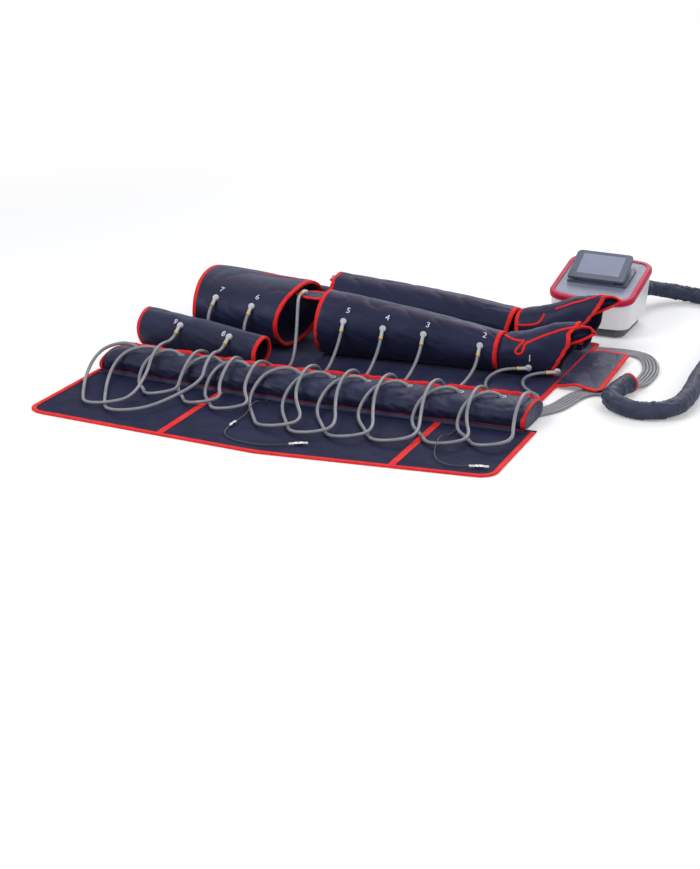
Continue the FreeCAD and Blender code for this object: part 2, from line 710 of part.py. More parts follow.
def loopPoints(name, before, crossX, eyeletX, width, reach):
    """A hose from its elbow over the channel, once round on the skirt and back to its eyelet."""
    middle, top, halfWidth = channelTop(crossX)
    endMiddle, endTop, _ = channelTop(eyeletX)
    cross = vec(crossX, middle - 6, top + 28)
    start, along = ends[name]
    if before is None:
        points = drape(name, cross, halfWidth)
    else:
        points = [start, start + along * 28.0] + [vec(*p) for p in before]
    low = skirtThickness + hoseRadius + 0.5
    lean = 0.30 * (reach - 120)
    bottom = endMiddle - reach
    bottomX = eyeletX - 0.05 * width + lean
    endRun = max(0.28 * width, 42)
    upX = eyeletX - endRun - 0.32 * width
    upMiddle, _, upHalfWidth = channelTop(upX)
    overX = eyeletX - endRun - 0.24 * width
    overMiddle, _, _ = channelTop(overX)
    points += [
        cross,
        vec(crossX + 0.12 * lean, middle - halfWidth, top + 12),
        vec(crossX + 0.34 * lean, middle - halfWidth - 60, 46),
        vec(bottomX + 0.50 * width, bottom + 0.44 * width, low + 14),
        vec(bottomX + 0.25 * width, bottom, low + 13),
        vec(bottomX - 0.25 * width, bottom + 3, low),
        vec(bottomX - 0.51 * width, bottom + 0.43 * width, low),
        vec(eyeletX - 0.60 * width, upMiddle - upHalfWidth - 70, low + 5),
        vec(upX, upMiddle - upHalfWidth - 15, 56),
        vec(overX, overMiddle - 30, endTop + 7),
        vec(eyeletX - endRun, endMiddle + 6, endTop + 11),
        vec(eyeletX, endMiddle + 5, endTop + 6.6),
    ]
    makeEyelet(eyeletX, endMiddle + 5, endTop + 0.4)
    return points


underArm = {
    "hose_6": [(-886, -886, 70), (-882, -897, 32), (-868, -932, 12.4), (-838, -996, 11.8),
               (-812, -1044, 20), (-798, -1064, 60)],
    "hose_7": [(-1014, -872, 72), (-1008, -884, 32), (-990, -916, 12.4), (-958, -976, 11.8),
               (-930, -1032, 20), (-918, -1054, 66)],
}
hoses = {
    # name: points before the channel, where it crosses the channel, eyelet, width, reach
    "hose_foot": ([(-34, -712, 20), (-22, -770, 13), (26, -824, 12), (64, -884, 16), (78, -950, 54)],
                  76, 10, 128, 262),
    "hose_1": ([(-122, -716, 26), (-136, -766, 14), (-112, -846, 13), (-76, -924, 20),
                (-62, -980, 62)], -60, -112, 140, 290),
    "hose_2": (None, -190, -262, 150, 320),
    "hose_3": (None, -330, -384, 146, 330),
    "hose_4": (None, -440, -490, 146, 335),
    "hose_5": (None, -560, -590, 150, 320),
    "hose_hip": ([(-742, -800, 170), (-724, -846, 96), (-716, -880, 34), (-708, -930, 14),
                  (-706, -996, 16), (-710, -1050, 54)], -712, -748, 124, 240),
    "hose_6": (underArm["hose_6"], -790, -838, 120, 230),
    "hose_7": (underArm["hose_7"], -915, -975, 110, 215),
    "hose_8": ([], -862, -1040, 170, 390),
    "hose_9": ([], -1040, -1122, 158, 366),
}


def makeHoses():
    for name, (before, crossX, eyeletX, width, reach) in hoses.items():
        points = loopPoints(name, before, crossX, eyeletX, width, reach)
        add(name, cordTube(name, points, hoseRadius))


loomPoints = [
    (66, 171.2, 82), (66, 256, 82), (104, 372, 52), (214, 446, 28.4), (350, 400, 28.4),
    (440, 250, 28.4), (456, 40, 28.4), (440, -230, 28.4), (446, -500, 28.4), (462, -690, 28.4),
    (447, -830, 28.4), (352, -892, 28.4), (257, -838, 28.4), (249, -730, 28.4), (272, -640, 28.4),
]


def makeLoom():
    """The sleeved bundle from the socket, with the plug that all its hoses end in."""
    z = bayZ - 6
    plug = rod(vec(socketX, bayPlateY + 5.9, z), vec(0, 1, 0), 20, 26.0)
    grip = rod(vec(socketX, bayPlateY + 25.9, z), vec(0, 1, 0), 9, 29.0)
    add("loom_plug", plug.fuse(grip))
    points = [vec(*p) for p in loomPoints]
    add("hose_loom", cordTube("hose_loom", points, loomRadius))


def sideways(points, offset):
    """The same flat route moved to its left by offset."""
    moved = []
    for index, point in enumerate(points):
        before = points[max(index - 1, 0)]
        after = points[min(index + 1, len(points) - 1)]
        a = vec(point[0] - before[0], point[1] - before[1], 0)
        b = vec(after[0] - point[0], after[1] - point[1], 0)
        a = b if a.Length < 0.01 else a
        b = a if b.Length < 0.01 else b
        a = a * (1 / a.Length)
        b = b * (1 / b.Length)
        side = vec(-a.y - b.y, a.x + b.x, 0)
        side.normalize()
        stretch = 1 / math.cos(a.getAngle(b) / 2)
        moved.append(vec(point[0], point[1], point[2]) + side * (offset * stretch))
    return moved


leadLeft = [
    (-640, -1216, 7), (-642, -1258, 10), (-640, -1298, 30), (-642, -1336, 30), (-641, -1374, 12),
    (-643, -1416, 10.4), (-642, -1500, 10.4), (-628, -1544, 8), (-586, -1570, 7), (-530, -1576, 7),
    (-474, -1566, 8), (-436, -1540, 10.4),
]
leadRight = [
    (-72, -1180, 7), (-70, -1232, 7), (-74, -1282, 10), (-72, -1336, 30), (-68, -1386, 30),
    (-58, -1436, 10), (-30, -1478, 7), (16, -1494, 8), (56, -1480, 10.4),
]


def makeLeads():
    """Two thin sensor leads on the skirt; round metal connectors sit on them and end them."""
    for name, route in (("lead_left", leadLeft), ("lead_right", leadRight)):
        points = [vec(*p) for p in route]
        add(name, cordTube(name, points, leadRadius))
        way = points[-1] - points[-2]
        way = vec(way.x, way.y, 0).normalize()
        start = points[-1] + way * 0.4
        plug = rod(start, way, 16, 3.4).fuse(rod(start + way * 15, way, 26, 4.6))
        add("lead_plugs", plug.fuse(rod(start + way * 40, way, 14, 3.6)))
    before, after = [vec(*p) for p in leadLeft[5:7]]
    way = (after - before).normalize()
    start = before + way * 21
    inline = rod(start, way, 40, 3.4).fuse(rod(start + way * 9, way, 22, 4.6))
    bore = rod(start - way * 2, way, 44, leadRadius + 0.15)
    add("lead_plugs", inline.cut(bore))


ribbonFar = [
    (272.5, -638, 5.3), (285, -582, 5.3), (290, -520, 5.3), (288, -430, 5.3), (262, -340, 5.3),
    (226, -280, 5.3), (160, -268, 5.3), (85, -288, 5.3),
]
ribbonNear = [
    (232.7, -700, 5.3), (194, -701, 5.3), (162, -727, 5.3), (145, -770, 5.3), (137, -818, 5.3),
    (130, -870, 5.3), (116, -924, 5.3), (84, -974, 5.3),
]
slitGap = 24.0


def makeRibbons():
    """Flat runs of loose hoses side by side. The far ones leave the sleeve's mouth, the near
    ones its slit side."""
    before, mouth = loomPoints[-2], loomPoints[-1]
    for name, route in (("ribbon_far", ribbonFar), ("ribbon_near", ribbonNear)):
        for lane in range(5):
            points = sideways(route, (lane - 2) * 10.6)
            if name == "ribbon_near":
                share = (points[0].y - before[1]) / (mouth[1] - before[1])
                points[0].x = before[0] + (mouth[0] - before[0]) * share - slitGap
            add(name, cordTube(name, points, hoseRadius))


builders = [
    makeFeet, makePlinth, makeHousing, makeTrim, makeTopPanel, makeCradle, makeGusset,
    makeHingePin, makeDisplay, makeRearPanel, makeFan, makeFanGuard, makeInlet, makeRocker,
    makeSocket, makeChassis, makeScrews, makeCompressor, makeManifold, makeBoard,
    makePowerSupply, makeMat, makeSkirt, makeChannel, makePad, makeHipPads, makeElbows,
    makeHoses, makeLoom, makeLeads, makeRibbons,
]
for build in builders:
    build()
makeWrap("waist_wrap", waist)
makeWrap("near_leg_wrap", nearLeg)
makeWrap("far_leg_wrap", farLeg)
makeWrap("near_foot_wrap", nearFoot)
makeWrap("far_foot_wrap", farFoot)
makeWrap("near_arm_wrap", nearArm)
makeWrap("far_arm_wrap", farArm)

for node, shapes in pieces.items():
    solids = [solid for shape in shapes for solid in shape.Solids]
    whole = solids[0] if len(solids) == 1 else Part.makeCompound(solids)
    whole.translate(rowShift)
    whole.exportStep("parts/" + node + ".step")
    bad = [solid for solid in solids if not solid.isValid() or solid.Volume <= 0]
    if bad:
        print("NOT VALID:", node, len(bad))
print(len(pieces), "nodes")
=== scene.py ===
import bpy
import bmesh
import math
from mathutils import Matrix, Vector, noise


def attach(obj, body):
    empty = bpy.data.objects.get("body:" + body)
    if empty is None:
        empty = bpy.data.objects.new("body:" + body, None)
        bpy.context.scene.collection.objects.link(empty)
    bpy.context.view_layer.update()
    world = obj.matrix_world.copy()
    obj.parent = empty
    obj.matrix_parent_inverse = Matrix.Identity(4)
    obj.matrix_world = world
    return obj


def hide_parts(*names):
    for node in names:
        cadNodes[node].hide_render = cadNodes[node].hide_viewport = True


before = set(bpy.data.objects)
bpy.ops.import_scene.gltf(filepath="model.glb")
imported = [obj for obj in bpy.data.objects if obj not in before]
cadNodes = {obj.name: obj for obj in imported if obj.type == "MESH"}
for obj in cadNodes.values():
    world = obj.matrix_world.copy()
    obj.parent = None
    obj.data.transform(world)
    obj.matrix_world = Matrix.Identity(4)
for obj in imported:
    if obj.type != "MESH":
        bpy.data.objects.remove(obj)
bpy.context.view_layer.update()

rowShift = Vector((0.50881, 0.72796, 0.0))  # lengths below are in metres from the console's middle


def here(x, y, z):
    return Vector((x, y, z)) + rowShift


def smooth(low, high, value):
    t = min(max((value - low) / (high - low), 0.0), 1.0)
    return t * t * (3 - 2 * t)


def mix(a, b, t):
    return a + (b - a) * t


def noiseAt(x, y, z):
    return noise.noise(Vector((x, y, z)))


def ridgeAt(power, x, y, z):
    return (1 - abs(noiseAt(x, y, z))) ** power


def valuesAt(rows, x):  # between the rows of a table that begin with x
    for a, b in zip(rows, rows[1:]):
        if x <= b[0] or b is rows[-1]:
            t = (x - a[0]) / (b[0] - a[0])
            return [mix(p, q, t) for p, q in zip(a[1:], b[1:])]


def placed(name, data):
    made = bpy.data.objects.new(name, data)
    bpy.context.scene.collection.objects.link(made)
    return made


def emptyTree(holder):
    holder.use_nodes = True
    holder.node_tree.nodes.clear()
    return holder.node_tree


def makeNode(tree, kind, values=None, links=None, operation=None):
    node = tree.nodes.new("ShaderNode" + kind)
    if operation:
        node.operation = operation
    for socket, value in (values or {}).items():
        node.inputs[socket].default_value = value
    for socket, source in (links or {}).items():  # a node stands for its first output
        source = source if isinstance(source, bpy.types.NodeSocket) else source.outputs[0]
        tree.links.new(source, node.inputs[socket])
    return node


def seenRays(tree):  # 1 for what the eye or a mirror sees, 0 for light
    rays = makeNode(tree, "LightPath").outputs
    return makeNode(tree, "Math", None, {0: rays["Is Camera Ray"], 1: rays["Is Glossy Ray"]}, "MAXIMUM")


upward = Vector((0, 0, 1))
floorGap = 0.0003  # bands stay this far above the floor


# camera and light

cameraPlace = {
    "at": (1.97881, -5.09204, 1.72), "turn": (70.2803, -1.5658, 22.5474), "lens": 76.703, "sensor": 36,
}

lens = bpy.data.cameras.new("camera")
lens.lens = cameraPlace["lens"]
lens.sensor_width = cameraPlace["sensor"]
eye = placed("camera", lens)
eye.location = cameraPlace["at"]
eye.rotation_euler = [math.radians(a) for a in cameraPlace["turn"]]
bpy.context.scene.camera = eye
bpy.context.scene.view_settings.view_transform = "Standard"

lamps = {
    "keyLamp": {"at": (-1.6, -2.8, 3.4), "aim": (0.0, 0.0, 0.1), "size": 2.4, "power": 95},
    "fillLamp": {"at": (3.4, -1.8, 2.4), "aim": (0.2, 0.2, 0.1), "size": 2.4, "power": 40},
    "backLamp": {"at": (0.4, 3.4, 2.8), "aim": (0.0, 0.2, 0.1), "size": 2.6, "power": 60},
}
for name, facts in lamps.items():
    lamp = bpy.data.lights.new(name, "AREA")
    lamp.shape = "DISK"
    lamp.size = facts["size"]
    lamp.energy = facts["power"]
    holder = placed(name, lamp)
    holder.location = facts["at"]
    aim = Vector(facts["aim"]) - Vector(facts["at"])
    holder.rotation_euler = aim.to_track_quat("-Z", "Y").to_euler()

skyFacts = {"light": (0.93, 0.95, 1.0, 1), "strength": 0.5, "seen": (1, 1, 1, 1)}
room = bpy.data.worlds.new("room")
bpy.context.scene.world = room
sky = emptyTree(room)
skyLight = makeNode(sky, "Background", {"Color": skyFacts["light"], "Strength": skyFacts["strength"]})
skyWhite = makeNode(sky, "Background", {"Color": skyFacts["seen"]})
skyMix = makeNode(sky, "MixShader", None, {0: seenRays(sky), 1: skyLight, 2: skyWhite})
makeNode(sky, "OutputWorld", None, {"Surface": skyMix})
print("camera and light are set")


# finishes

noiseSpan = {"From Min": 0.32, "From Max": 0.68}  # where most of a noise texture's values lie
threadLines = ((1, 0, 0), (0, 0.7, 1))  # along and across the piece


def colour(code):
    parts = [int(code[i:i + 2], 16) / 255 for i in (1, 3, 5)]
    return [p / 12.92 if p <= 0.04045 else ((p + 0.055) / 1.055) ** 2.4 for p in parts] + [1]


def finish(name, dark, light, patch, rough, grains, weave=None, **sockets):
    material = bpy.data.materials.new(name)
    tree = emptyTree(material)
    where = makeNode(tree, "TexCoord").outputs["Object"]

    def cloud(scale, detail):
        clouds = makeNode(tree, "TexNoise", {"Scale": scale, "Detail": detail}, {"Vector": where})
        return clouds.outputs["Fac"]

    def spread(value, low, high):
        span = dict(noiseSpan, **{"To Min": low, "To Max": high})
        return makeNode(tree, "MapRange", span, {"Value": value}).outputs["Result"]

    tones = makeNode(tree, "Mix", {6: colour(dark), 7: colour(light)}, {0: spread(cloud(patch, 4.0), 0, 1)})
    tones.data_type = "RGBA"  # two tones in soft patches
    fixed = {socketNames[socket]: value for socket, value in sockets.items()}
    shader = makeNode(tree, "BsdfPrincipled", fixed,
                      {"Base Color": tones.outputs[2], "Roughness": spread(cloud(patch * 2.3, 5.0), *rough)})
    heights = [(cloud(scale, 3.0), strength, depth) for scale, strength, depth in grains]
    if weave:
        thread, strength, depth = weave
        crests = {}
        for index, axis in enumerate(threadLines):
            across = makeNode(tree, "VectorMath", {1: axis}, {0: where}, "DOT_PRODUCT").outputs["Value"]
            wave = makeNode(tree, "Math", {1: 2 * math.pi / thread}, {0: across}, "MULTIPLY")
            crests[index] = makeNode(tree, "Math", None, {0: wave}, "SINE")
        heights.append((makeNode(tree, "Math", None, crests, "MULTIPLY"), strength, depth))
    under = {}
    for value, strength, depth in heights:
        bump = makeNode(tree, "Bump", {"Strength": strength, "Distance": depth}, {"Height": value, **under})
        under = {"Normal": bump}
        tree.links.new(bump.outputs["Normal"], shader.inputs["Normal"])
    makeNode(tree, "OutputMaterial", None, {"Surface": shader})
    return material


socketNames = {
    "metal": "Metallic", "sheen": "Sheen Weight", "sheenRough": "Sheen Roughness", "sheenTint": "Sheen Tint",
    "coat": "Coat Weight", "coatRough": "Coat Roughness", "shine": "Specular IOR Level",
    "shineTint": "Specular Tint",
}

nylon = dict(dark="#171930", light="#1f213c", patch=7.0, grains=[(13, 0.42, 0.006), (45, 0.28, 0.0016)],
             weave=(0.0009, 0.12, 0.00012), shineTint=(0.74, 0.80, 1.0, 1.0), sheenRough=0.45,
             sheenTint=(0.5, 0.56, 1.0, 1.0))
navyNylon = finish("navyNylon", rough=(0.42, 0.56), shine=0.22, sheen=0.16, **nylon)
skirtNylon = finish("skirtNylon", rough=(0.60, 0.74), shine=0.08, sheen=0.05, **nylon)
redTape = finish("redTape", "#d81e22", "#ea2e28", 24.0, (0.6, 0.75),
                 [(60, 0.3, 0.001)], (0.0012, 0.3, 0.0002), shine=0.2)
redThread = finish("redThread", "#6a1824", "#8a212c", 60.0, (0.65, 0.8), [(300, 0.5, 0.0005)],
                   (0.0016, 0.5, 0.0003), shine=0.2)
loomCloth = finish("loomCloth", "#262c40", "#333a50", 16.0, (0.5, 0.65),
                   [(30, 0.4, 0.003), (120, 0.25, 0.0006)], (0.0010, 0.2, 0.00015), shine=0.3)
hoseGrey = finish("hoseGrey", "#76777e", "#87888f", 22.0, (0.34, 0.46), [(40, 0.12, 0.0006)])
inkWhite = finish("inkWhite", "#c9ccd6", "#dfe1e8", 220.0, (0.5, 0.65), [(500, 0.3, 0.0002)])
# near-black painted shade for the dark inside of each eyelet hole
paintedHoleShade = finish("paintedHoleShade", "#0c0e16", "#131622", 90.0, (0.7, 0.9), [(300, 0.3, 0.0003)], shine=0.1)
leadSkin = finish("leadSkin", "#2e3036", "#3a3d44", 60.0, (0.4, 0.55), [(200, 0.2, 0.0003)])
leadWhite = finish("leadWhite", "#d8d8d6", "#e8e8e6", 120.0, (0.35, 0.5), [(400, 0.15, 0.0002)])
leadMetal = finish("leadMetal", "#bcbdc0", "#d6d7d9", 120.0, (0.18, 0.3), [(500, 0.2, 0.0001)], metal=1.0)

cadFinishes = {  # two tones, patch, roughness, grain, nodes, other sockets
    "whiteShell": ("#e6e6e9", "#efeff1", 5.0, (0.28, 0.36), (900, 0.05, 0.0001), ["housing_shell"],
                   dict(coat=0.15, coatRough=0.2)),
    "redRing": ("#b2103c", "#c01744", 8.0, (0.4, 0.5), (12, 0.03, 0.001), ["trim_ring"], dict(shine=0.2)),
    "panelGrey": ("#74798e", "#7f8499", 14.0, (0.4, 0.5), (1400, 0.2, 0.0001), ["top_panel"], {}),
    "cradleGrey": ("#454a5e", "#50566a", 20.0, (0.4, 0.5), (1500, 0.25, 0.0001),
                   ["display_cradle", "display_frame", "display_back"], {}),
    "gussetGrey": ("#b2b5c0", "#bec1cb", 20.0, (0.42, 0.5), (1500, 0.2, 0.0001),
                   ["display_gusset", "valve_manifold"], {}),
    "plinthGrey": ("#4d4f54", "#595b61", 12.0, (0.5, 0.62), (1100, 0.35, 0.0002),
                   ["base_plinth", "rear_panel"], {}),
    "moldedBlack": ("#1c1d1f", "#28292c", 18.0, (0.42, 0.56), (1200, 0.3, 0.0002),
                    ["fan_frame", "fan_rotor", "mains_inlet", "power_rocker", "hose_socket",
                     "compressor_head", "valve_coils", "loom_plug"], {}),
    "footRubber": ("#1b1b1c", "#262627", 30.0, (0.75, 0.9), (500, 0.4, 0.0003),
                   ["rubber_feet", "compressor_mounts"], {}),
    "platedSteel": ("#b9babd", "#cfd0d3", 30.0, (0.22, 0.36), (600, 0.15, 0.0001),
                    ["display_hinge_pin", "fan_guard", "chassis_plate", "case_screws"], dict(metal=1.0)),
    "castMetal": ("#8f9093", "#a3a4a7", 20.0, (0.45, 0.6), (350, 0.5, 0.0004),
                  ["compressor_body", "power_supply"], dict(metal=1.0)),
    "boardGreen": ("#12402a", "#1a5236", 60.0, (0.35, 0.5), (700, 0.4, 0.0002), ["control_board"], {}),
    "screenGlass": ("#7e86a0", "#8b93ab", 6.0, (0.1, 0.16), (3, 0.02, 0.001), ["display_glass"],
                    dict(coat=0.5, coatRough=0.05)),
    "elbowGrey": ("#adafb4", "#bfc1c5", 60.0, (0.38, 0.5), (700, 0.15, 0.0002), ["air_elbows"], {}),
    "ringYellow": ("#d9a32c", "#e8b840", 90.0, (0.35, 0.5), (600, 0.2, 0.0002), ["elbow_rings"], {}),
    "eyeletMetal": ("#c6c7ca", "#dcdde0", 90.0, (0.15, 0.28), (300, 0.15, 0.0001), ["eyelets"],
                    dict(metal=1.0)),
}
for name, (dark, light, patch, rough, grain, members, sockets) in cadFinishes.items():
    skin = finish(name, dark, light, patch, rough, [grain], **sockets)
    for node in members:
        slots = cadNodes[node].data.materials
        if len(slots) == 0:
            slots.append(skin)
        for index in range(len(slots)):
            slots[index] = skin
print("finishes are made")


# mesh helpers


def piece(name, points, faces, material):
    mesh = bpy.data.meshes.new(name)
    mesh.from_pydata([tuple(p) for p in points], [], faces)
    work = bmesh.new()
    work.from_mesh(mesh)
    bmesh.ops.recalc_face_normals(work, faces=work.faces)
    for face in work.faces:
        face.smooth = True
    work.to_mesh(mesh)
    work.free()
    mesh.materials.append(material)
    made = placed(name, mesh)
    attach(made, "set")
    return made


def ringFaces(rows, columns, closed=False, caps=True):
    faces = []
    for i in range(rows if closed else rows - 1):
        a, b = i * columns, (i + 1) % rows * columns
        for j in range(columns):
            k = (j + 1) % columns
            faces.append((a + j, a + k, b + k, b + j))
    if caps and not closed:
        faces.append(tuple(range(columns)))
        faces.append(tuple((rows - 1) * columns + j for j in reversed(range(columns))))
    return faces


def shellFaces(rows, columns, loop):
    count = rows * columns
    faces = []
    around = columns if loop else columns - 1
    for i in range(rows - 1):
        for j in range(around):
            k = (j + 1) % columns
            a, b, c, d = i * columns + j, i * columns + k, (i + 1) * columns + k, (i + 1) * columns + j
            faces.append((a, b, c, d))
            faces.append((d + count, c + count, b + count, a + count))
    for j in range(around):
        k = (j + 1) % columns
        faces.append((j, j + count, k + count, k))
        last = (rows - 1) * columns
        faces.append((last + k, last + k + count, last + j + count, last + j))
    if not loop:
        for i in range(rows - 1):
            a, b = i * columns, (i + 1) * columns
            faces.append((a, b, b + count, a + count))
            a, b = a + columns - 1, b + columns - 1
            faces.append((b, a, a + count, b + count))
    return faces


def twoGrids(rows, columns, pairAt):
    grid = [[pairAt(i, j) for j in range(columns)] for i in range(rows)]
    return [[[pair[side] for pair in line] for line in grid] for side in (0, 1)]


def shell(name, outer, inner, loop, material):
    points = [p for row in outer for p in row] + [p for row in inner for p in row]
    return piece(name, points, shellFaces(len(outer), len(outer[0]), loop), material)


def band(name, stations, profile, loop, material):
    points = [point + across * s + up * t for point, across, up in stations for s, t in profile]
    for point in points:
        point.z = max(point.z, floorGap)
    return piece(name, points, ringFaces(len(stations), len(profile), loop), material)


tapeWidths = {
    "mouth": 0.0085, "tongue": 0.0085, "sleeve": 0.0115, "cloth": 0.0125, "endPad": 0.0130, "hipPad": 0.010,
}


def tapeProfile(width, thick):
    h = thick / 2
    half = [(-0.0012, h * 0.6), (0.0004, h), (width * 0.5, h * 1.04), (width - 0.0008, h), (width, h * 0.8)]
    return [(-0.0016, 0)] + half + [(s, -t) for s, t in reversed(half)]


stripSizes = {  # width, thickness
    "loomSlit": (0.0075, 0.0016), "channelThread": (0.0028, 0.0008), "channelEnd": (0.0125, 0.0011),
}


def stripProfile(width, thick):
    w = width / 2
    return [(-w, -0.0012), (-w, thick * 0.7), (-w + 0.0008, thick), (0, thick * 1.1), (w - 0.0008, thick),
            (w, thick * 0.7), (w, -0.0012)]


def roundedWalk(corners, radii, step):
    count = len(corners)
    bends = []
    for i, r in enumerate(radii):
        p = Vector(corners[i])
        a = (Vector(corners[i - 1]) - p).normalized()
        b = (Vector(corners[(i + 1) % count]) - p).normalized()
        half = a.angle(b) / 2
        cut = r / math.tan(half)
        bends.append((p + a * cut, p + b * cut, p + (a + b).normalized() * (r / math.sin(half)), half))
    line = []
    for i, (start, end, centre, half) in enumerate(bends):
        turns = max(int((math.pi - 2 * half) * radii[i] / step), 3)
        for k in range(turns + 1):
            line.append(centre + (start - centre).slerp(end - centre, k / turns) * radii[i])
        run = bends[(i + 1) % count][0] - end
        steps = max(int(run.length / step), 1)
        line += [end + run * (k / steps) for k in range(1, steps)]
    return line


def inwardOf(line, i):
    way = (line[(i + 1) % len(line)] - line[i - 1]).normalized()
    return Vector((-way.y, way.x))


# hoses and cords, in the lines they lie on

channel = {  # padded roll on the skirt that the hoses cross and end in
    "sections": [(-1.216, -1.126, 0.034, 0.074, 0.0336), (-0.760, -1.139, 0.035, 0.073, 0.0346),
                 (-0.500, -1.124, 0.035, 0.086, 0.0346), (0.104, -1.058, 0.035, 0.090, 0.0346)],
    "crossings": (0.077, -0.061, -0.190, -0.330, -0.440, -0.560, -0.711, -0.795, -0.863, -0.917, -1.045),
    "rows": 260, "columns": 56, "foldDepth": 0.0042, "flapAngle": 127, "flapTall": 0.0115,
    "seamRise": 0.0155, "holeRadius": 0.0082, "foot": 0.0044, "seamSpan": (0.012, 0.004),
    "flapSpan": (0.010, 0.006), "tapeEnd": -38, "fill": 0.55,
    "endTapes": {"channelStartTape": (0.0085, 0.0012), "channelEndTape": (0.006, 0.0004)},
}


def channelPlace(x):
    y, z, w, h = valuesAt(channel["sections"], x)
    return y, w, z + h


hose = {"thick": 0.010, "leadThick": 0.003, "low": 0.0105}
hoses = {  # length, loop (crossing, eyelet, width, reach), points before the channel
    "hoseFoot": (1.16, (0.076, 0.010, 0.128, 0.262), [
        (0.0223, -0.6722, 0.0314), (-0.0041, -0.681, 0.0285), (-0.034, -0.712, 0.02),
        (-0.022, -0.77, 0.013), (0.026, -0.824, 0.012), (0.064, -0.884, 0.016), (0.078, -0.95, 0.054),
    ]),
    "hose1": (1.22, (-0.060, -0.112, 0.140, 0.290), [
        (-0.0621, -0.6938, 0.0381), (-0.0894, -0.6993, 0.0353), (-0.122, -0.716, 0.026),
        (-0.136, -0.766, 0.014), (-0.112, -0.846, 0.013), (-0.076, -0.924, 0.02), (-0.062, -0.98, 0.062),
    ]),
    "hose2": (1.23, (-0.190, -0.262, 0.150, 0.320), [
        (-0.1774, -0.7308, 0.071), (-0.1763, -0.7465, 0.0479), (-0.1774, -0.8036, 0.0249),
        (-0.1813, -0.8815, 0.0144), (-0.1873, -0.9697, 0.0224), (-0.1897, -1.0141, 0.0776),
    ]),
    "hose3": (1.24, (-0.330, -0.384, 0.146, 0.330), [
        (-0.3484, -0.7624, 0.091), (-0.3473, -0.7782, 0.0679), (-0.346, -0.8319, 0.0353),
        (-0.3411, -0.9051, 0.0204), (-0.3335, -0.9881, 0.0284), (-0.3303, -1.0303, 0.0776),
    ]),
    "hose4": (1.24, (-0.440, -0.490, 0.146, 0.335), [
        (-0.4716, -0.7858, 0.0979), (-0.4705, -0.8004, 0.0741), (-0.4681, -0.852, 0.0385),
        (-0.4595, -0.9224, 0.0222), (-0.4461, -1.0022, 0.0302), (-0.4406, -1.043, 0.0776),
    ]),
    "hose5": (1.21, (-0.560, -0.590, 0.150, 0.320), [
        (-0.5925, -0.8085, 0.1106), (-0.5915, -0.8238, 0.0873), (-0.589, -0.8733, 0.0454),
        (-0.5802, -0.9406, 0.0262), (-0.5663, -1.017, 0.0342), (-0.5606, -1.0565, 0.0776),
    ]),
    "hoseHip": (1.16, (-0.712, -0.748, 0.124, 0.240), [
        (-0.7627, -0.727, 0.1882), (-0.7599, -0.7549, 0.1882), (-0.742, -0.8, 0.17),
        (-0.724, -0.846, 0.096), (-0.716, -0.88, 0.034), (-0.708, -0.93, 0.014),
        (-0.706, -0.996, 0.016), (-0.71, -1.05, 0.054),
    ]),
    "hose6": (1.03, (-0.790, -0.838, 0.120, 0.230), [
        (-0.8883, -0.8493, 0.1341), (-0.8884, -0.8704, 0.1158), (-0.886, -0.886, 0.07),
        (-0.882, -0.897, 0.032), (-0.868, -0.932, 0.0124), (-0.838, -0.996, 0.0118),
        (-0.812, -1.044, 0.02), (-0.798, -1.064, 0.06),
    ]),
    "hose7": (1.01, (-0.915, -0.975, 0.110, 0.215), [
        (-1.0162, -0.8404, 0.1444), (-1.0162, -0.8629, 0.1277), (-1.014, -0.872, 0.072),
        (-1.008, -0.884, 0.032), (-0.99, -0.916, 0.0124), (-0.958, -0.976, 0.0118),
        (-0.93, -1.032, 0.02), (-0.918, -1.054, 0.066),
    ]),
    "hose8": (1.07, (-0.862, -1.040, 0.170, 0.390), [(-0.8645, -1.0593, 0.0989), (-0.8651, -1.083, 0.0841)]),
    "hose9": (1.03, (-1.040, -1.122, 0.158, 0.366), [(-1.048, -1.0217, 0.0976), (-1.0488, -1.0443, 0.0811)]),
}


def toTenths(points):  # of a millimetre, like the solids' routes
    return [tuple(round(v, 4) for v in point) for point in points]


def hoseLoop(cross, eyelet, width, reach):
    y, w, top = channelPlace(cross)
    endY, _, endTop = channelPlace(eyelet)
    low = hose["low"]
    lean = 0.30 * (reach - 0.120)
    bottom = endY - reach
    middle = eyelet - 0.05 * width + lean
    back = eyelet - max(0.28 * width, 0.042)
    up, over = back - 0.32 * width, back - 0.24 * width
    upY, overY = channelPlace(up)[0] - channelPlace(up)[1], channelPlace(over)[0]
    return toTenths([
        (cross, y - 0.006, top + 0.028),
        (cross + 0.12 * lean, y - w, top + 0.012),
        (cross + 0.34 * lean, y - w - 0.060, 0.046),
        (middle + 0.50 * width, bottom + 0.44 * width, low + 0.014),
        (middle + 0.25 * width, bottom, low + 0.013),
        (middle - 0.25 * width, bottom + 0.003, low),
        (middle - 0.51 * width, bottom + 0.43 * width, low),
        (eyelet - 0.60 * width, upY - 0.070, low + 0.005),
        (up, upY - 0.015, 0.056),
        (over, overY - 0.030, endTop + 0.007),
        (eyelet - 0.022, endY + 0.0055, 0.086),
        (eyelet + 0.007, endY + 0.005, 0.064),  # down into its eyelet
    ])


def route(name, points, thick, material):
    line = bpy.data.curves.new(name, "CURVE")
    line.dimensions = "3D"
    spline = line.splines.new("NURBS")
    spline.points.add(len(points) - 1)
    for spot, point in zip(spline.points, points):
        spot.co = (*here(*point), 1)
    spline.order_u = 3
    spline.use_endpoint_u = True
    spline.resolution_u = 10
    line.bevel_depth = thick / 2
    line.bevel_resolution = 5
    line.use_fill_caps = True
    line.materials.append(material)
    made = placed(name, line)
    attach(made, "set")
    return made


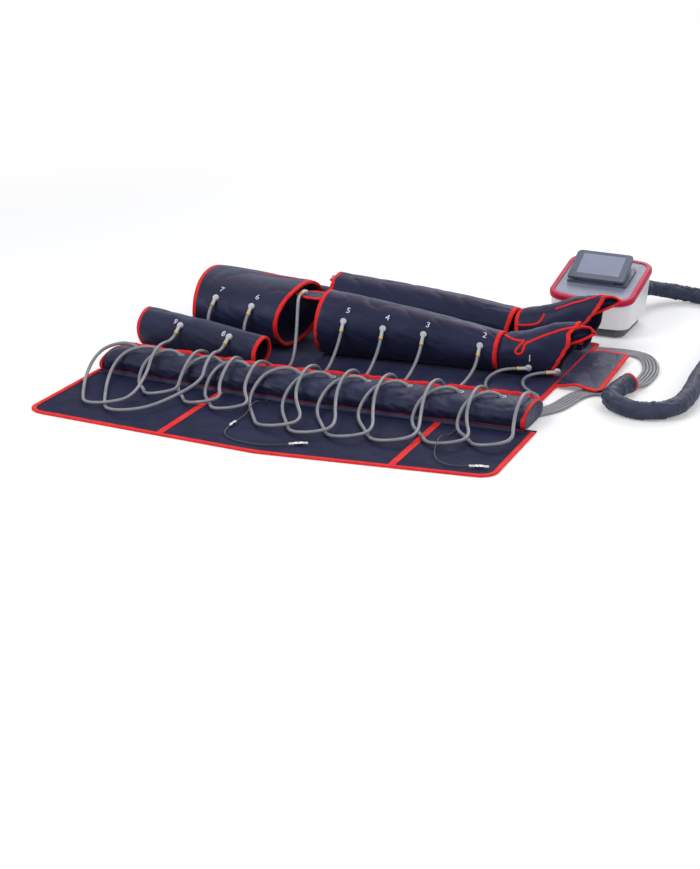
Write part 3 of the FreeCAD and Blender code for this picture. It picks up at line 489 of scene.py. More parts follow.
def followed(name, points):
    curve = route(name, points, 0.0, hoseGrey)
    curve.data.splines[0].resolution_u = 24
    bpy.context.view_layer.update()
    flat = bpy.data.meshes.new_from_object(curve)
    line = [v.co.copy() for v in flat.vertices]
    bpy.data.meshes.remove(flat)
    bpy.data.objects.remove(curve)
    return line


for name, (length, loop, points) in hoses.items():
    tube = route(name, points + hoseLoop(*loop), hose["thick"], hoseGrey)
    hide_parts("hose_" + name[4:].lower())

laneStep, laneLow = 0.0106, 0.0053
lanes = {  # middle of five hoses side by side, then each one's length and how far its end is led on
    "ribbonFar": {
        "node": "ribbon_far", "lengths": (0.556, 0.534, 0.512, 0.490, 0.469),
        "tucks": (0.009, 0.012, 0.014, 0.017, 0.0195),
        "middle": [(0.2725, -0.638), (0.285, -0.582), (0.29, -0.52), (0.288, -0.43), (0.262, -0.34),
                   (0.226, -0.28), (0.16, -0.268), (0.085, -0.288)],
    },
    "ribbonNear": {
        "node": "ribbon_near", "lengths": (0.366, 0.353, 0.340, 0.326, 0.313), "tucks": (0.013,) * 5,
        "middle": [(0.2327, -0.7), (0.194, -0.701), (0.162, -0.727), (0.145, -0.77), (0.137, -0.818),
                   (0.13, -0.87), (0.116, -0.924), (0.084, -0.974)],
    },
}


def sideways(points, offset):
    flat = [Vector(p) for p in points]
    ways = [(b - a).normalized() for a, b in zip(flat, flat[1:])]
    moved = []
    for p, a, b in zip(flat, ways[:1] + ways, ways + ways[-1:]):
        side = Vector((-a.y - b.y, a.x + b.x)).normalized()
        moved.append((*(p + side * (offset / math.cos(a.angle(b) / 2))), laneLow))
    return toTenths(moved)


def tucked(points, more):
    last = Vector(points[-1])
    return points[:-1] + [tuple(last + (last - Vector(points[-2])).normalized() * more)]


for name, facts in lanes.items():
    for lane in range(5):
        points = sideways(facts["middle"], (lane - 2) * laneStep)
        if name == "ribbonFar":  # bunched inside the bundle's mouth
            inside = (0.2811 - 0.0063 * lane, -0.6567 + 0.0016 * lane, 0.02 + 0.01 * (lane % 2))
        else:  # out of the bundle's side, which runs aslant
            points[0] = (round(0.2381 - 0.0027 * lane, 4), *points[0][1:])
            inside = (points[0][0] + 0.012, points[0][1], 0.0075)
        led = [inside] + tucked(points[1:], facts["tucks"][lane])
        tube = route(name + str(lane), led, hose["thick"], hoseGrey)
        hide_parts(facts["node"])

leads = {  # node, length, points
    "leadLeft": ("lead_left", 0.542, [
        (-0.64, -1.216, 0.007), (-0.642, -1.258, 0.01), (-0.64, -1.298, 0.03), (-0.642, -1.336, 0.03),
        (-0.641, -1.374, 0.012), (-0.643, -1.416, 0.0104), (-0.642, -1.5, 0.0104),
        (-0.628, -1.544, 0.008), (-0.586, -1.57, 0.007), (-0.53, -1.576, 0.007),
        (-0.474, -1.566, 0.008), (-0.436, -1.54, 0.0104),
    ]),
    "leadRight": ("lead_right", 0.401, [
        (-0.072, -1.18, 0.007), (-0.07, -1.232, 0.007), (-0.074, -1.282, 0.01), (-0.072, -1.336, 0.03),
        (-0.068, -1.386, 0.03), (-0.058, -1.436, 0.01), (-0.03, -1.478, 0.007), (0.016, -1.494, 0.008),
        (0.056, -1.48, 0.0104),
    ]),
}
connector = {  # distance along, radius
    "sleeve": [(0.0004, 0.0017), (0.001, 0.0029), (0.0035, 0.0034), (0.0155, 0.0034), (0.0162, 0.0030)],
    "shell": [(0.0155, 0.0031), (0.0158, 0.0042), (0.0168, 0.0046), (0.0200, 0.0046), (0.0204, 0.0042),
              (0.0212, 0.0042), (0.0216, 0.0046), (0.0350, 0.0046), (0.0354, 0.0040), (0.0366, 0.0040),
              (0.0370, 0.0046), (0.0400, 0.0045), (0.0410, 0.0038)],
    "tip": [(0.0402, 0.0031), (0.0406, 0.0036), (0.0520, 0.0035), (0.0534, 0.0029), (0.0538, 0.0022),
            (0.0480, 0.0018)],
    "inlineShell": [(0.0084, 0.0031), (0.0090, 0.0043), (0.0100, 0.0046), (0.0160, 0.0046),
                    (0.0164, 0.0041), (0.0236, 0.0041), (0.0240, 0.0046), (0.0300, 0.0046),
                    (0.0310, 0.0043), (0.0316, 0.0031)],
    "inlineEnds": [(0.0000, 0.0017), (0.0006, 0.0026), (0.0030, 0.0033), (0.0088, 0.0034),
                   (0.0312, 0.0034), (0.0370, 0.0033), (0.0394, 0.0026), (0.0400, 0.0017)],
}


def turned(name, start, way, profile, material):
    side, sides = way.cross(upward).normalized(), 28
    points = []
    for along, radius in profile:
        for k in range(sides):
            a = 2 * math.pi * k / sides
            points.append(start + way * along + (side * math.cos(a) + upward * math.sin(a)) * radius)
    return piece(name, points, ringFaces(len(profile), sides), material)


def connectorAt(name, start, way, parts):
    made = []
    for part, material in parts:
        body = turned(name + part[0].upper() + part[1:], start, way, connector[part], material)
        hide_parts("lead_plugs")
        made.append(body)
    return made


for name, (node, length, points) in leads.items():
    thread = route(name, points, hose["leadThick"], leadSkin)
    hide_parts(node)
    last, before = Vector(points[-1]), Vector(points[-2])
    way = Vector((last.x - before.x, last.y - before.y, 0)).normalized()
    onIt = connectorAt(name + "End", here(*points[-1]), way,
                       [("sleeve", leadWhite), ("shell", leadMetal), ("tip", leadWhite)])
    if name == "leadLeft":
        a, b = Vector(points[5]), Vector(points[6])
        way = (b - a).normalized()
        onIt += connectorAt(name + "Middle", here(*(a + way * 0.021)), way,
                            [("inlineEnds", leadWhite), ("inlineShell", leadMetal)])
print("hoses and leads are laid")


# sleeved hose bundle

loom = {
    "radius": 0.0268, "length": 2.12, "thick": 0.056, "step": 0.0042, "columns": 52, "bunch": 0.0052,
    "slack": 0.0030, "limits": (0.0200, 0.0375), "low": 0.0006, "slit": 0.155, "turnIn": 0.0032,
    # steps back from the mouth and depth under the skin
    "inside": ((0, 0.0012), (0, 0.0032), (6, 0.0032), (12, 0.004), (16, 0.012), (16, 0.024)),
    "slitEdges": {"loomSlitTop": (176, 202), "loomSlitLow": (232, 216)}, "slitStart": 209,  # in degrees
}
loomRoute = [
    (0.066, 0.1712, 0.082), (0.066, 0.256, 0.082), (0.104, 0.372, 0.052), (0.214, 0.446, 0.0284),
    (0.35, 0.4, 0.0284), (0.44, 0.25, 0.0284), (0.456, 0.04, 0.0284), (0.44, -0.23, 0.0284),
    (0.446, -0.5, 0.0284), (0.462, -0.69, 0.0284), (0.447, -0.83, 0.0284), (0.352, -0.892, 0.0284),
    (0.257, -0.838, 0.0284), (0.249, -0.73, 0.0284), (0.272, -0.64, 0.0284),
]


def loomFramesAlong():
    line = followed("loomLine", loomRoute)
    dense = [line[0]]
    for point in line[1:]:
        while (point - dense[-1]).length > loom["step"]:
            dense.append(dense[-1] + (point - dense[-1]).normalized() * loom["step"])
    frames = []
    last = len(dense) - 1
    for i, point in enumerate(dense):
        way = (dense[min(i + 2, last)] - dense[max(i - 2, 0)]).normalized()
        side = way.cross(upward).normalized()
        top = side.cross(way).normalized()
        before = (point - dense[max(i - 9, 0)]).normalized()
        after = (dense[min(i + 9, last)] - point).normalized()
        frames.append((point, way, side, top, after - before))
    return frames


def loomSkin(frames, i, angle):
    point, _, side, top, bend = frames[i]
    far = i * loom["step"]
    left = (len(frames) - 1 - i) * loom["step"]
    turn = Vector((math.cos(angle), math.sin(angle)))
    out = side * turn.x + top * turn.y
    inside = max(bend.dot(out), 0.0) * 2.2
    warp = 0.5 * noiseAt(far * 14, turn.x * 1.1, turn.y * 1.1)
    rings = ridgeAt(3, far * 34 + warp, turn.x * 0.75 + 5, turn.y * 0.75)
    ripples = ridgeAt(3, far * 78 + warp, turn.x * 1.3, turn.y * 1.3 + 3)
    slack = loom["slack"] * noiseAt(far * 8, turn.x * 0.8, turn.y * 0.8)
    strength = (0.55 + min(bend.length * 1.3, 0.7) + inside) * smooth(0, 0.03, min(far, left))
    lift = -loom["bunch"] * (0.85 * (rings - 0.4) + 0.5 * (ripples - 0.4)) * strength + slack
    radius = (loom["radius"] + lift + 0.0018 * (1 - smooth(0, 0.06, left)) -
              0.0045 * (1 - smooth(0, 0.03, far)))
    thinnest, thickest = loom["limits"]
    spot = point + out * min(max(radius, thinnest), thickest)
    spot.z = max(spot.z, loom["low"])
    return spot, out


def loomTube():
    frames = loomFramesAlong()
    last = len(frames) - 1
    angles = [2 * math.pi * j / loom["columns"] for j in range(loom["columns"])]
    rings = [[loomSkin(frames, i, a)[0] for a in angles] for i in range(last + 1)]
    for back, deep in loom["inside"]:
        skin = [loomSkin(frames, last - back, a) for a in angles]
        rings.append([spot - out * deep for spot, out in skin])  # cloth turns in at the mouth
    points = [p for ring in rings for p in ring]
    bundle = piece("hoseLoom", points, ringFaces(len(rings), loom["columns"]), loomCloth)
    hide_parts("hose_loom")
    mouth = []
    for a in angles:
        spot, out = loomSkin(frames, last, a)
        mouth.append((spot - out * (loom["turnIn"] / 2), -frames[last][1], out))
    band("loomMouthTape", mouth, tapeProfile(tapeWidths["mouth"], loom["turnIn"] + 0.0024), True, redTape)
    long = int(loom["slit"] / loom["step"])
    for name, (wide, narrow) in loom["slitEdges"].items():
        stations = []
        for i in range(last - long, last):
            t = (i - last + long) / long
            apart = smooth(0.0, 0.45, t) * (1 - smooth(0.75, 1.0, t))
            angle = math.radians(mix(narrow, wide, apart) if t > 0.02 else loom["slitStart"])
            spot, out = loomSkin(frames, i, angle)
            stations.append((spot - out * 0.0006, frames[i][1].cross(out).normalized(), out))
        band(name, stations, stripProfile(*stripSizes["loomSlit"]), False, redTape)


loomTube()
print("hose bundle is laid")


# sleeves: x, y, z, half width and half height of each oval

elbowSpots = [
    (-0.031, -0.6819, 0.044), (-0.18, -0.7066, 0.096), (-0.351, -0.7382, 0.116), (-0.474, -0.7628, 0.124),
    (-0.595, -0.7847, 0.136), (-0.888, -0.8194, 0.152), (-1.016, -0.8093, 0.16), (-0.863, -1.027, 0.112),
    (-1.046, -0.9905, 0.113), (0.052, -0.6566, 0.038),
]
sleeves = {
    "waistWrap": {
        "node": "waist_wrap", "fill": 0.35, "seed": 1.7, "wall": 0.008,
        "sections": [(-1.112, -0.657, 0.112, 0.170, 0.103), (-0.950, -0.661, 0.110, 0.172, 0.101),
                     (-0.776, -0.672, 0.108, 0.168, 0.100)],
        "left": [(0, -1.090), (90, -1.112), (180, -1.110), (270, -1.096)],
        "right": [(0, -0.797), (90, -0.777), (180, -0.778), (270, -0.796)],
        "broad": 0.0036, "crease": 0.0044,
    },
    "nearLegWrap": {
        "node": "near_leg_wrap", "fill": 0.35, "seed": 4.1, "wall": 0.008,
        "sections": [(-0.684, -0.706, 0.106, 0.103, 0.099), (-0.400, -0.668, 0.090, 0.086, 0.082),
                     (-0.130, -0.636, 0.068, 0.066, 0.060)],
        "left": [(0, -0.683), (90, -0.684), (180, -0.683), (270, -0.683)],
        "right": [(0, -0.130), (90, -0.131), (180, -0.131), (270, -0.131)],
        "broad": 0.0032, "crease": 0.0044,
    },
    "farLegWrap": {
        "node": "far_leg_wrap", "fill": 0.35, "seed": 7.3, "wall": 0.008,
        "sections": [(-0.736, -0.496, 0.107, 0.099, 0.099), (-0.430, -0.424, 0.090, 0.086, 0.082),
                     (-0.165, -0.362, 0.068, 0.066, 0.060)],
        "left": [(0, -0.734), (90, -0.736), (180, -0.734), (270, -0.734)],
        "right": [(0, -0.181), (35, -0.176), (72, -0.174), (120, -0.170), (180, -0.168), (270, -0.178)],
        "broad": 0.0034, "crease": 0.0044,
    },
    "nearFootWrap": {
        "node": "near_foot_wrap", "fill": 0.3, "seed": 9.9, "wall": 0.006,
        "sections": [(-0.122, -0.635, 0.068, 0.066, 0.060), (-0.050, -0.630, 0.076, 0.064, 0.068),
                     (0.020, -0.622, 0.090, 0.058, 0.082), (0.078, -0.612, 0.098, 0.052, 0.084)],
        "left": [(0, -0.137), (180, -0.137)], "tuck": 0.009,
        "right": [(0, 0.073), (16, 0.084), (28, 0.084), (42, 0.081), (54, 0.088), (64, 0.098), (90, 0.100),
                  (180, 0.080), (225, 0.050), (301, 0.034), (323, 0.046), (340, 0.059)],
        "broad": 0.0026, "crease": 0.0034, "bound": (-88, 122),
    },
    "farFootWrap": {
        "node": "far_foot_wrap", "fill": 0.3, "seed": 12.4, "wall": 0.006,
        "sections": [(-0.157, -0.360, 0.068, 0.066, 0.060), (-0.070, -0.350, 0.080, 0.064, 0.072),
                     (0.010, -0.342, 0.098, 0.058, 0.088), (0.086, -0.336, 0.108, 0.052, 0.090)],
        "left": [(0, -0.159), (62, -0.166), (120, -0.160), (180, -0.158), (270, -0.160)],
        "right": [(3, 0.054), (17, 0.070), (31, 0.085), (45, 0.095), (61, 0.102), (90, 0.104), (114, 0.106),
                  (180, 0.084), (225, 0.060), (270, 0.046)],
        "broad": 0.0026, "crease": 0.0032, "bound": (-42, 122),
    },
    "nearArmWrap": {
        "node": "near_arm_wrap", "fill": 0.3, "seed": 15.2, "wall": 0.006, "sag": 0.010,
        "sections": [(-1.214, -0.907, 0.076, 0.060, 0.056), (-1.000, -0.956, 0.076, 0.060, 0.056),
                     (-0.757, -1.010, 0.072, 0.056, 0.052)],
        "left": [(0, -1.212), (90, -1.206), (180, -1.200), (270, -1.213)],
        "right": [(0, -0.764), (90, -0.757), (180, -0.760), (270, -0.776)],
        "broad": 0.0030, "crease": 0.0040,
    },
    "farArmWrap": {
        "node": "far_arm_wrap", "fill": 0.3, "seed": 18.8, "wall": 0.006, "sag": 0.006,
        "sections": [(-1.190, -0.372, 0.070, 0.052, 0.056), (-0.980, -0.376, 0.070, 0.052, 0.056),
                     (-0.770, -0.384, 0.066, 0.048, 0.052)],
        "left": [(0, -1.190), (180, -1.190)],
        "right": [(0, -0.770), (180, -0.770)],
        "broad": 0.0028, "crease": 0.0026,
    },
}


sleeveGrid = {"along": 0.006, "around": 0.0065}


def ringValue(marks, angle):
    degrees = math.degrees(angle) % 360
    for i, (mark, value) in enumerate(marks):
        after, nextValue = marks[(i + 1) % len(marks)]
        span = (after - mark) % 360 or 360
        gone = (degrees - mark) % 360
        if gone < span:
            return mix(value, nextValue, smooth(0, 1, gone / span))


def onSleeve(sleeve, x, angle, lift):
    y, z, w, h = valuesAt(sleeve["sections"], x)
    low = max(-math.sin(angle), 0.0)
    drop = sleeve.get("sag", 0.0) * low ** 3
    return here(x, y - (w + lift) * math.cos(angle), z + (h + lift) * math.sin(angle) - drop)


def creased(sleeve, x, angle):
    seed = sleeve["seed"]
    y, z, w, h = valuesAt(sleeve["sections"], x)
    turn = Vector((math.cos(angle), math.sin(angle)))
    broad = noiseAt(x * 5.5 + seed, turn.x * 1.3, turn.y * 1.3)
    ridge = ridgeAt(7, x * 13 + turn.y * 2.1 + seed, turn.x * 1.8 + 4, turn.y * 1.8)
    fine = noiseAt(x * 38 + seed, turn.x * 7, turn.y * 7)
    lift = sleeve["broad"] * broad + 0.0004 * fine - sleeve["crease"] * (ridge - 0.25) * 0.6
    spot = Vector((x, y - w * math.cos(angle), z + h * math.sin(angle)))
    return lift * smooth(0.012, 0.045, min((spot - Vector(e)).length for e in elbowSpots))


def ends(sleeve, angle):
    return ringValue(sleeve["left"], angle), ringValue(sleeve["right"], angle)


def sleeveLift(sleeve, x, angle):
    start, end = ends(sleeve, angle)
    edge = smooth(0, 0.02, min(x - start, end - x))
    lift = creased(sleeve, x, angle) * (0.35 + 0.65 * edge) - 0.0012 * (1 - edge)
    return lift - sleeve.get("tuck", 0.0) * (1 - smooth(0.004, 0.026, x - start))


def makeSleeve(name, sleeve):
    length = sleeve["right"][0][1] - sleeve["left"][0][1]
    rows = int(length / sleeveGrid["along"])
    w, h = valuesAt(sleeve["sections"], sleeve["left"][0][1])[2:]
    columns = int(math.pi * (w + h) / sleeveGrid["around"])

    def pairAt(i, j):
        angle = 2 * math.pi * j / columns
        x = mix(*ends(sleeve, angle), i / rows)
        lift = sleeveLift(sleeve, x, angle)
        return onSleeve(sleeve, x, angle, lift), onSleeve(sleeve, x, angle, lift - sleeve["wall"])

    made = shell(name, *twoGrids(rows + 1, columns, pairAt), True, navyNylon)
    if "tongue" in sleeve:
        addTongue(made, name, sleeve["tongue"])
    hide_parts(sleeve["node"])
    for side in ("left", "right"):
        if side == "right" or "tuck" not in sleeve:
            makeSleeveEdge(name + side.capitalize() + "Edge", sleeve, side)
    for part, (marks, width, thick, material) in sleeve.get("lines", {}).items():
        sleeveTape(name + part, sleeve, marks, stripProfile(width, thick), material)


def smoothWay(marks, steps):
    way = []
    for i in range(len(marks) - 1):
        four = marks[max(i - 1, 0)], marks[i], marks[i + 1], marks[min(i + 2, len(marks) - 1)]
        for k in range(steps):
            t = k / steps
            way.append(tuple(0.5 * (2 * q + (r - p) * t + (2 * p - 5 * q + 4 * r - s) * t * t +
                                    (3 * q - p - 3 * r + s) * t ** 3) for p, q, r, s in zip(*four)))
    return way + [tuple(marks[-1])]


def sleeveTape(name, sleeve, marks, profile, material):
    spots = []
    for x, degrees in smoothWay(marks, 8):
        angle = math.radians(degrees)
        lift = sleeveLift(sleeve, x, angle)
        p = onSleeve(sleeve, x, angle, lift)
        spots.append((p, (onSleeve(sleeve, x, angle, lift + 0.01) - p).normalized()))
    last = len(spots) - 1
    stations = []
    for i, (p, out) in enumerate(spots):
        way = (spots[min(i + 1, last)][0] - spots[max(i - 1, 0)][0]).normalized()
        across = way.cross(out).normalized()
        stations.append((p, across, across.cross(way).normalized()))
    band(name, stations, profile, False, material)


def addTongue(main, name, tongue):
    upper, lower = smoothWay(tongue["upper"], 6), smoothWay(tongue["lower"], 6)
    rows, last, half = 14, len(upper) - 1, tongue["thick"] / 2
    grid = []
    for i in range(rows + 1):
        t = i / rows
        grid.append([])
        for j, (a, b) in enumerate(zip(upper, lower)):
            p = here(*a).lerp(here(*b), t)
            p += Vector(tongue["cup"]) * (math.sin(math.pi * t) * (1 - 0.85 * smooth(0.55, 1.0, j / last)))
            p.z += 0.0015 * noise.noise(p * 30)
            grid[i].append(p)

    def pairAt(i, j):
        line = grid[i]
        down = grid[min(i + 1, rows)][j] - grid[max(i - 1, 0)][j]
        out = down.cross(line[min(j + 1, last)] - line[max(j - 1, 0)]).normalized()
        return line[j] + out * half, line[j] - out * half

    front, back = twoGrids(rows + 1, last + 1, pairAt)
    patch = shell(name + "Tongue", front, back, False, navyNylon)
    work = bmesh.new()
    work.from_mesh(main.data)
    work.from_mesh(patch.data)
    work.to_mesh(main.data)
    work.free()
    bpy.data.meshes.remove(patch.data)  # its object goes with it

    def edgeOf(rows):
        return rows[0] + [row[-1] for row in rows[1:-1]] + rows[-1][::-1]

    edge = edgeOf(grid)
    middle = sum(edge, Vector((0, 0, 0))) / len(edge)
    stations = []
    for i, (p, f, b) in enumerate(zip(edge, edgeOf(front), edgeOf(back))):
        out = (f - b).normalized()
        way = (edge[min(i + 1, len(edge) - 1)] - edge[max(i - 1, 0)]).normalized()
        inward = out.cross(way).normalized()
        stations.append((p, -inward if inward.dot(middle - p) < 0 else inward, out))
    profile = tapeProfile(tapeWidths["tongue"], tongue["thick"] + 0.002)
    band(name + "TongueTape", stations, profile, False, redTape)


def makeSleeveEdge(name, sleeve, side):
    stations = []
    steps = 110
    low, high = sleeve.get("bound", (0, 360)) if side == "right" else (0, 360)
    loop = high - low == 360
    way = 1 if side == "left" else -1
    for j in range(steps if loop else steps + 1):
        angle = math.radians(mix(low, high, j / steps))
        x = ringValue(sleeve[side], angle)
        lift = sleeveLift(sleeve, x, angle)
        p = onSleeve(sleeve, x, angle, lift - sleeve["wall"] / 2)
        inward = (onSleeve(sleeve, x + way * 0.012, angle, lift - sleeve["wall"] / 2) - p).normalized()
        out = (onSleeve(sleeve, x, angle, lift + 0.01) - p).normalized()
        wobble = 0.0006 * noiseAt(angle * 5, sleeve["seed"], 0)
        stations.append((p + out * wobble, inward, out))
    band(name, stations, tapeProfile(tapeWidths["sleeve"], sleeve["wall"] + 0.0022), loop, redTape)


tapeLine = (0.0075, 0.0016, redTape)
seamLine = (0.0016, 0.0004, redThread)
sleeves["nearFootWrap"]["lines"] = {
    "Closure": ([(-0.129, 96), (-0.1147, 70), (-0.0924, 54), (-0.0712, 47), (-0.0511, 44)], *tapeLine),
    "Keyhole": ([(-0.0505, 44), (-0.0612, 32), (-0.0705, 19.5), (-0.0702, 11.5), (-0.0612, 7.8),
                 (-0.0515, 11.5), (-0.0484, 22), (-0.0452, 35.5)], 0.0070, 0.0017, redTape),
    "Instep": ([(-0.0452, 36), (-0.0248, 39.5), (-0.0009, 43.8), (0.0229, 47.5), (0.0514, 55.0),
                (0.0753, 59.0), (0.092, 61.5)], *tapeLine),
}
sleeves["farFootWrap"]["lines"] = {
    "Strap": ([(-0.1560, 23), (-0.137, 20.2), (-0.1167, 19.4), (-0.0955, 20.5), (-0.0830, 27.0),
               (-0.0775, 36.5), (-0.0735, 47.0)], 0.0070, 0.0018, redTape),
    "Instep": ([(-0.0428, 54.2), (-0.0138, 55.2), (0.018, 58.5), (0.0487, 67.0), (0.077, 82.0),
                (0.0975, 98)], *tapeLine),
}
sleeves["waistWrap"]["lines"] = {
    "Closure": ([(-0.962, 106), (-0.920, 104), (-0.870, 104), (-0.825, 108), (-0.786, 118)],
                0.0080, 0.0016, redTape),
    "Seam": ([(-1.098, 64), (-1.02, 63), (-0.95, 63), (-0.88, 62), (-0.792, 61)], *seamLine),
}
sleeves["nearLegWrap"]["lines"] = {
    "Seam": ([(-0.672, 70), (-0.55, 69), (-0.42, 70), (-0.28, 69), (-0.142, 70)], *seamLine),
}
sleeves["farLegWrap"]["lines"] = {
    "Seam": ([(-0.722, 74), (-0.58, 73), (-0.42, 74), (-0.28, 73), (-0.186, 74)], *seamLine),
}
sleeves["nearFootWrap"]["tongue"] = {
    "upper": [(0.088, -0.634, 0.1690), (0.104, -0.622, 0.1735), (0.119, -0.613, 0.1730),
              (0.1315, -0.606, 0.1690), (0.1385, -0.602, 0.1610)],
    "lower": [(0.068, -0.634, 0.1120), (0.090, -0.628, 0.1210), (0.110, -0.619, 0.1290),
              (0.130, -0.608, 0.1395), (0.149, -0.600, 0.1520)],
    "cup": (0.004, 0.026, -0.002), "thick": 0.0042,
}
sleeves["farFootWrap"]["tongue"] = {
    "upper": [(0.096, -0.352, 0.1960), (0.112, -0.346, 0.2010), (0.127, -0.342, 0.2015),
              (0.140, -0.340, 0.1985), (0.149, -0.339, 0.1925)],
    "lower": [(0.080, -0.366, 0.1440), (0.102, -0.358, 0.1545), (0.122, -0.350, 0.1650),
              (0.138, -0.344, 0.1745), (0.153, -0.339, 0.1850)],
    "cup": (0.004, 0.024, -0.002), "thick": 0.0042,
}
for name, sleeve in sleeves.items():
    makeSleeve(name, sleeve)
print("sleeves are made")


numbers = {  # sleeve, x and angle of the elbow beside it, then how far right of it and above it
    "1": ("nearFootWrap", -0.031, -30, 0.004, 0.020), "2": ("nearLegWrap", -0.180, 22, 0.006, 0.029),
    "3": ("nearLegWrap", -0.351, 20, 0.006, 0.029), "4": ("nearLegWrap", -0.474, 20, 0.006, 0.029),
    "5": ("nearLegWrap", -0.595, 22, 0.006, 0.029), "6": ("waistWrap", -0.888, 26, 0.006, 0.029),
    "7": ("waistWrap", -1.016, 29, 0.006, 0.029), "8": ("nearArmWrap", -0.863, 40, -0.026, 0.004),
    "9": ("nearArmWrap", -1.046, 40, -0.026, 0.004),
}
numberFacts = {"tall": 0.0190, "capShare": 0.7, "lift": 0.0002, "thick": 0.0005, "cuts": (0.008, 0.004)}


def makeNumber(text, place):
    owner, x, degrees, right, above = place
    sleeve = sleeves[owner]
    font = bpy.data.curves.new("number" + text, "FONT")
    font.body = text
    font.size = numberFacts["tall"] / numberFacts["capShare"]
    font.resolution_u = 4
    font.extrude = 0.5
    font.align_x = "CENTER"
    holder = placed("number" + text, font)
    bpy.context.view_layer.update()
    mesh = bpy.data.meshes.new_from_object(holder)
    bpy.data.objects.remove(holder)
    work = bmesh.new()
    work.from_mesh(mesh)
    bmesh.ops.remove_doubles(work, verts=work.verts, dist=0.00001)
    for length in numberFacts["cuts"]:
        long = [e for e in work.edges if (e.verts[0].co - e.verts[1].co).xy.length > length]
        bmesh.ops.subdivide_edges(work, edges=long, cuts=1)
    bmesh.ops.triangulate(work, faces=work.faces)
    w, h = valuesAt(sleeve["sections"], x)[2:]
    for spot in work.verts:
        u, v, deep = spot.co
        angle = math.radians(degrees) + (above + v) / ((w + h) / 2)
        across = x + right + u
        lift = sleeveLift(sleeve, across, angle) + numberFacts["lift"] + numberFacts["thick"] * (deep + 0.5)
        spot.co = onSleeve(sleeve, across, angle, lift)
    bmesh.ops.recalc_face_normals(work, faces=work.faces)
    work.to_mesh(mesh)
    work.free()
    mesh.name = "number" + text
    mesh.materials.clear()
    mesh.materials.append(inkWhite)
    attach(placed("number" + text, mesh), "set")


for text, place in numbers.items():
    makeNumber(text, place)
print("numbers are on")


# base mat and side skirt

mat = {
    "near": [(-1.222, -1.030), (-0.505, -1.055), (0.066, -0.902)],
    "far": [(-1.222, -0.300), (-0.170, -0.236), (0.066, -0.214)],
    "corner": 0.014, "bends": (0.014, 0.3, 0.014, 0.014, 0.3, 0.014),
    "top": 0.0058, "low": 0.0005, "tape": (0.0035, 0.0064), "seed": 2.0, "grid": (150, 90),
    "farCorners": True, "finish": navyNylon,
    # it rises over the hoses that run under its edge
    "rise": {"y": -0.290, "half": 0.034, "up": 0.0062, "out": 0.0070, "from": 0.062},
}
skirt = {
    "near": [(-1.220, -1.604), (-0.500, -1.624), (0.136, -1.518)],
    "far": [(-1.224, -1.174), (-0.500, -1.184), (0.131, -1.114)],
    "corner": 0.055, "bends": (0.055, 0.3, 0.055, 0.004, 0.3, 0.004),
    "top": 0.0042, "low": 0.0004, "tape": (0.0032, 0.0060), "seed": 6.0, "grid": (170, 56),
    "farCorners": False, "finish": skirtNylon, "stripes": (-0.795, -0.135), "stripe": (0.019, 0.0009),
    "stripeSpan": (0.004, 0.985),
}


def lineAt(line, u):
    x = mix(line[0][0], line[-1][0], u)
    return Vector((x, *valuesAt(line, x)))


def roundIn(a, b, r):
    a, b = r - a, r - b
    if a <= 0 or b <= 0:
        return r - a, r - b
    p, q = a / r, b / r
    return r - r * p * math.sqrt(1 - q * q / 2), r - r * q * math.sqrt(1 - p * p / 2)


def clothPoint(cloth, u, v):
    wide = cloth["near"][-1][0] - cloth["near"][0][0]
    deep = (lineAt(cloth["far"], u) - lineAt(cloth["near"], u)).length
    a, b = u * wide, v * deep
    r = cloth["corner"]
    right, far = wide - a < r, cloth["farCorners"] and deep - b < r
    if (b < r or far) and (a < r or right):
        a, b = wide - a if right else a, deep - b if far else b
        a, b = roundIn(a, b, r)
        a, b = wide - a if right else a, deep - b if far else b
    return lineAt(cloth["near"], a / wide).lerp(lineAt(cloth["far"], a / wide), b / deep)


def raised(cloth, p, z):
    if "rise" not in cloth:
        return p.x, z
    rise = cloth["rise"]
    bump = math.exp(-((p.y - rise["y"]) / rise["half"]) ** 4) * smooth(0.0, rise["from"], p.x)
    return p.x + rise["out"] * bump, z + rise["up"] * bump


def makeCloth(name, cloth, node):
    columns, rows = cloth["grid"]

    def pairAt(i, j):
        p = clothPoint(cloth, j / columns, i / rows)
        wave = noiseAt(p.x * 6, p.y * 8, cloth["seed"])
        crease = ridgeAt(8, p.x * 9 + p.y * 7, p.y * 5 - p.x * 4, cloth["seed"] + 3)
        x, lift = raised(cloth, p, 0.0007 * wave + 0.0006 * crease)
        return here(x, p.y, cloth["top"] + lift - 0.0004), here(x, p.y, cloth["low"])

    made = shell(name, *twoGrids(rows + 1, columns + 1, pairAt), False, cloth["finish"])
    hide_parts(node)
    return made


def outlineTape(name, cloth, keep=None):
    height, thick = cloth["tape"]
    line = roundedWalk(cloth["near"] + cloth["far"][::-1], cloth["bends"], 0.008)
    stations = []
    for i, p in enumerate(line):
        x, z = raised(cloth, p, height + 0.0005 * noiseAt(p.x * 30, p.y * 30, 5))
        if keep is None or keep(p):
            stations.append((here(x, p.y, z), inwardOf(line, i).to_3d(), upward))
    if keep:
        gaps = [i for i in range(len(stations)) if (stations[i][0] - stations[i - 1][0]).length > 0.05]
        stations = stations[gaps[-1]:] + stations[:gaps[-1]]  # start after the gap
    band(name, stations, tapeProfile(tapeWidths["cloth"], thick), keep is None, redTape)


def outsideRoll(p):  # the hose channel hides the rest of the skirt's edge
    return p.y < (-1.18 if p.x < 0 else -1.13) and not (-1.205 < p.x < 0.115 and p.y > -1.30)


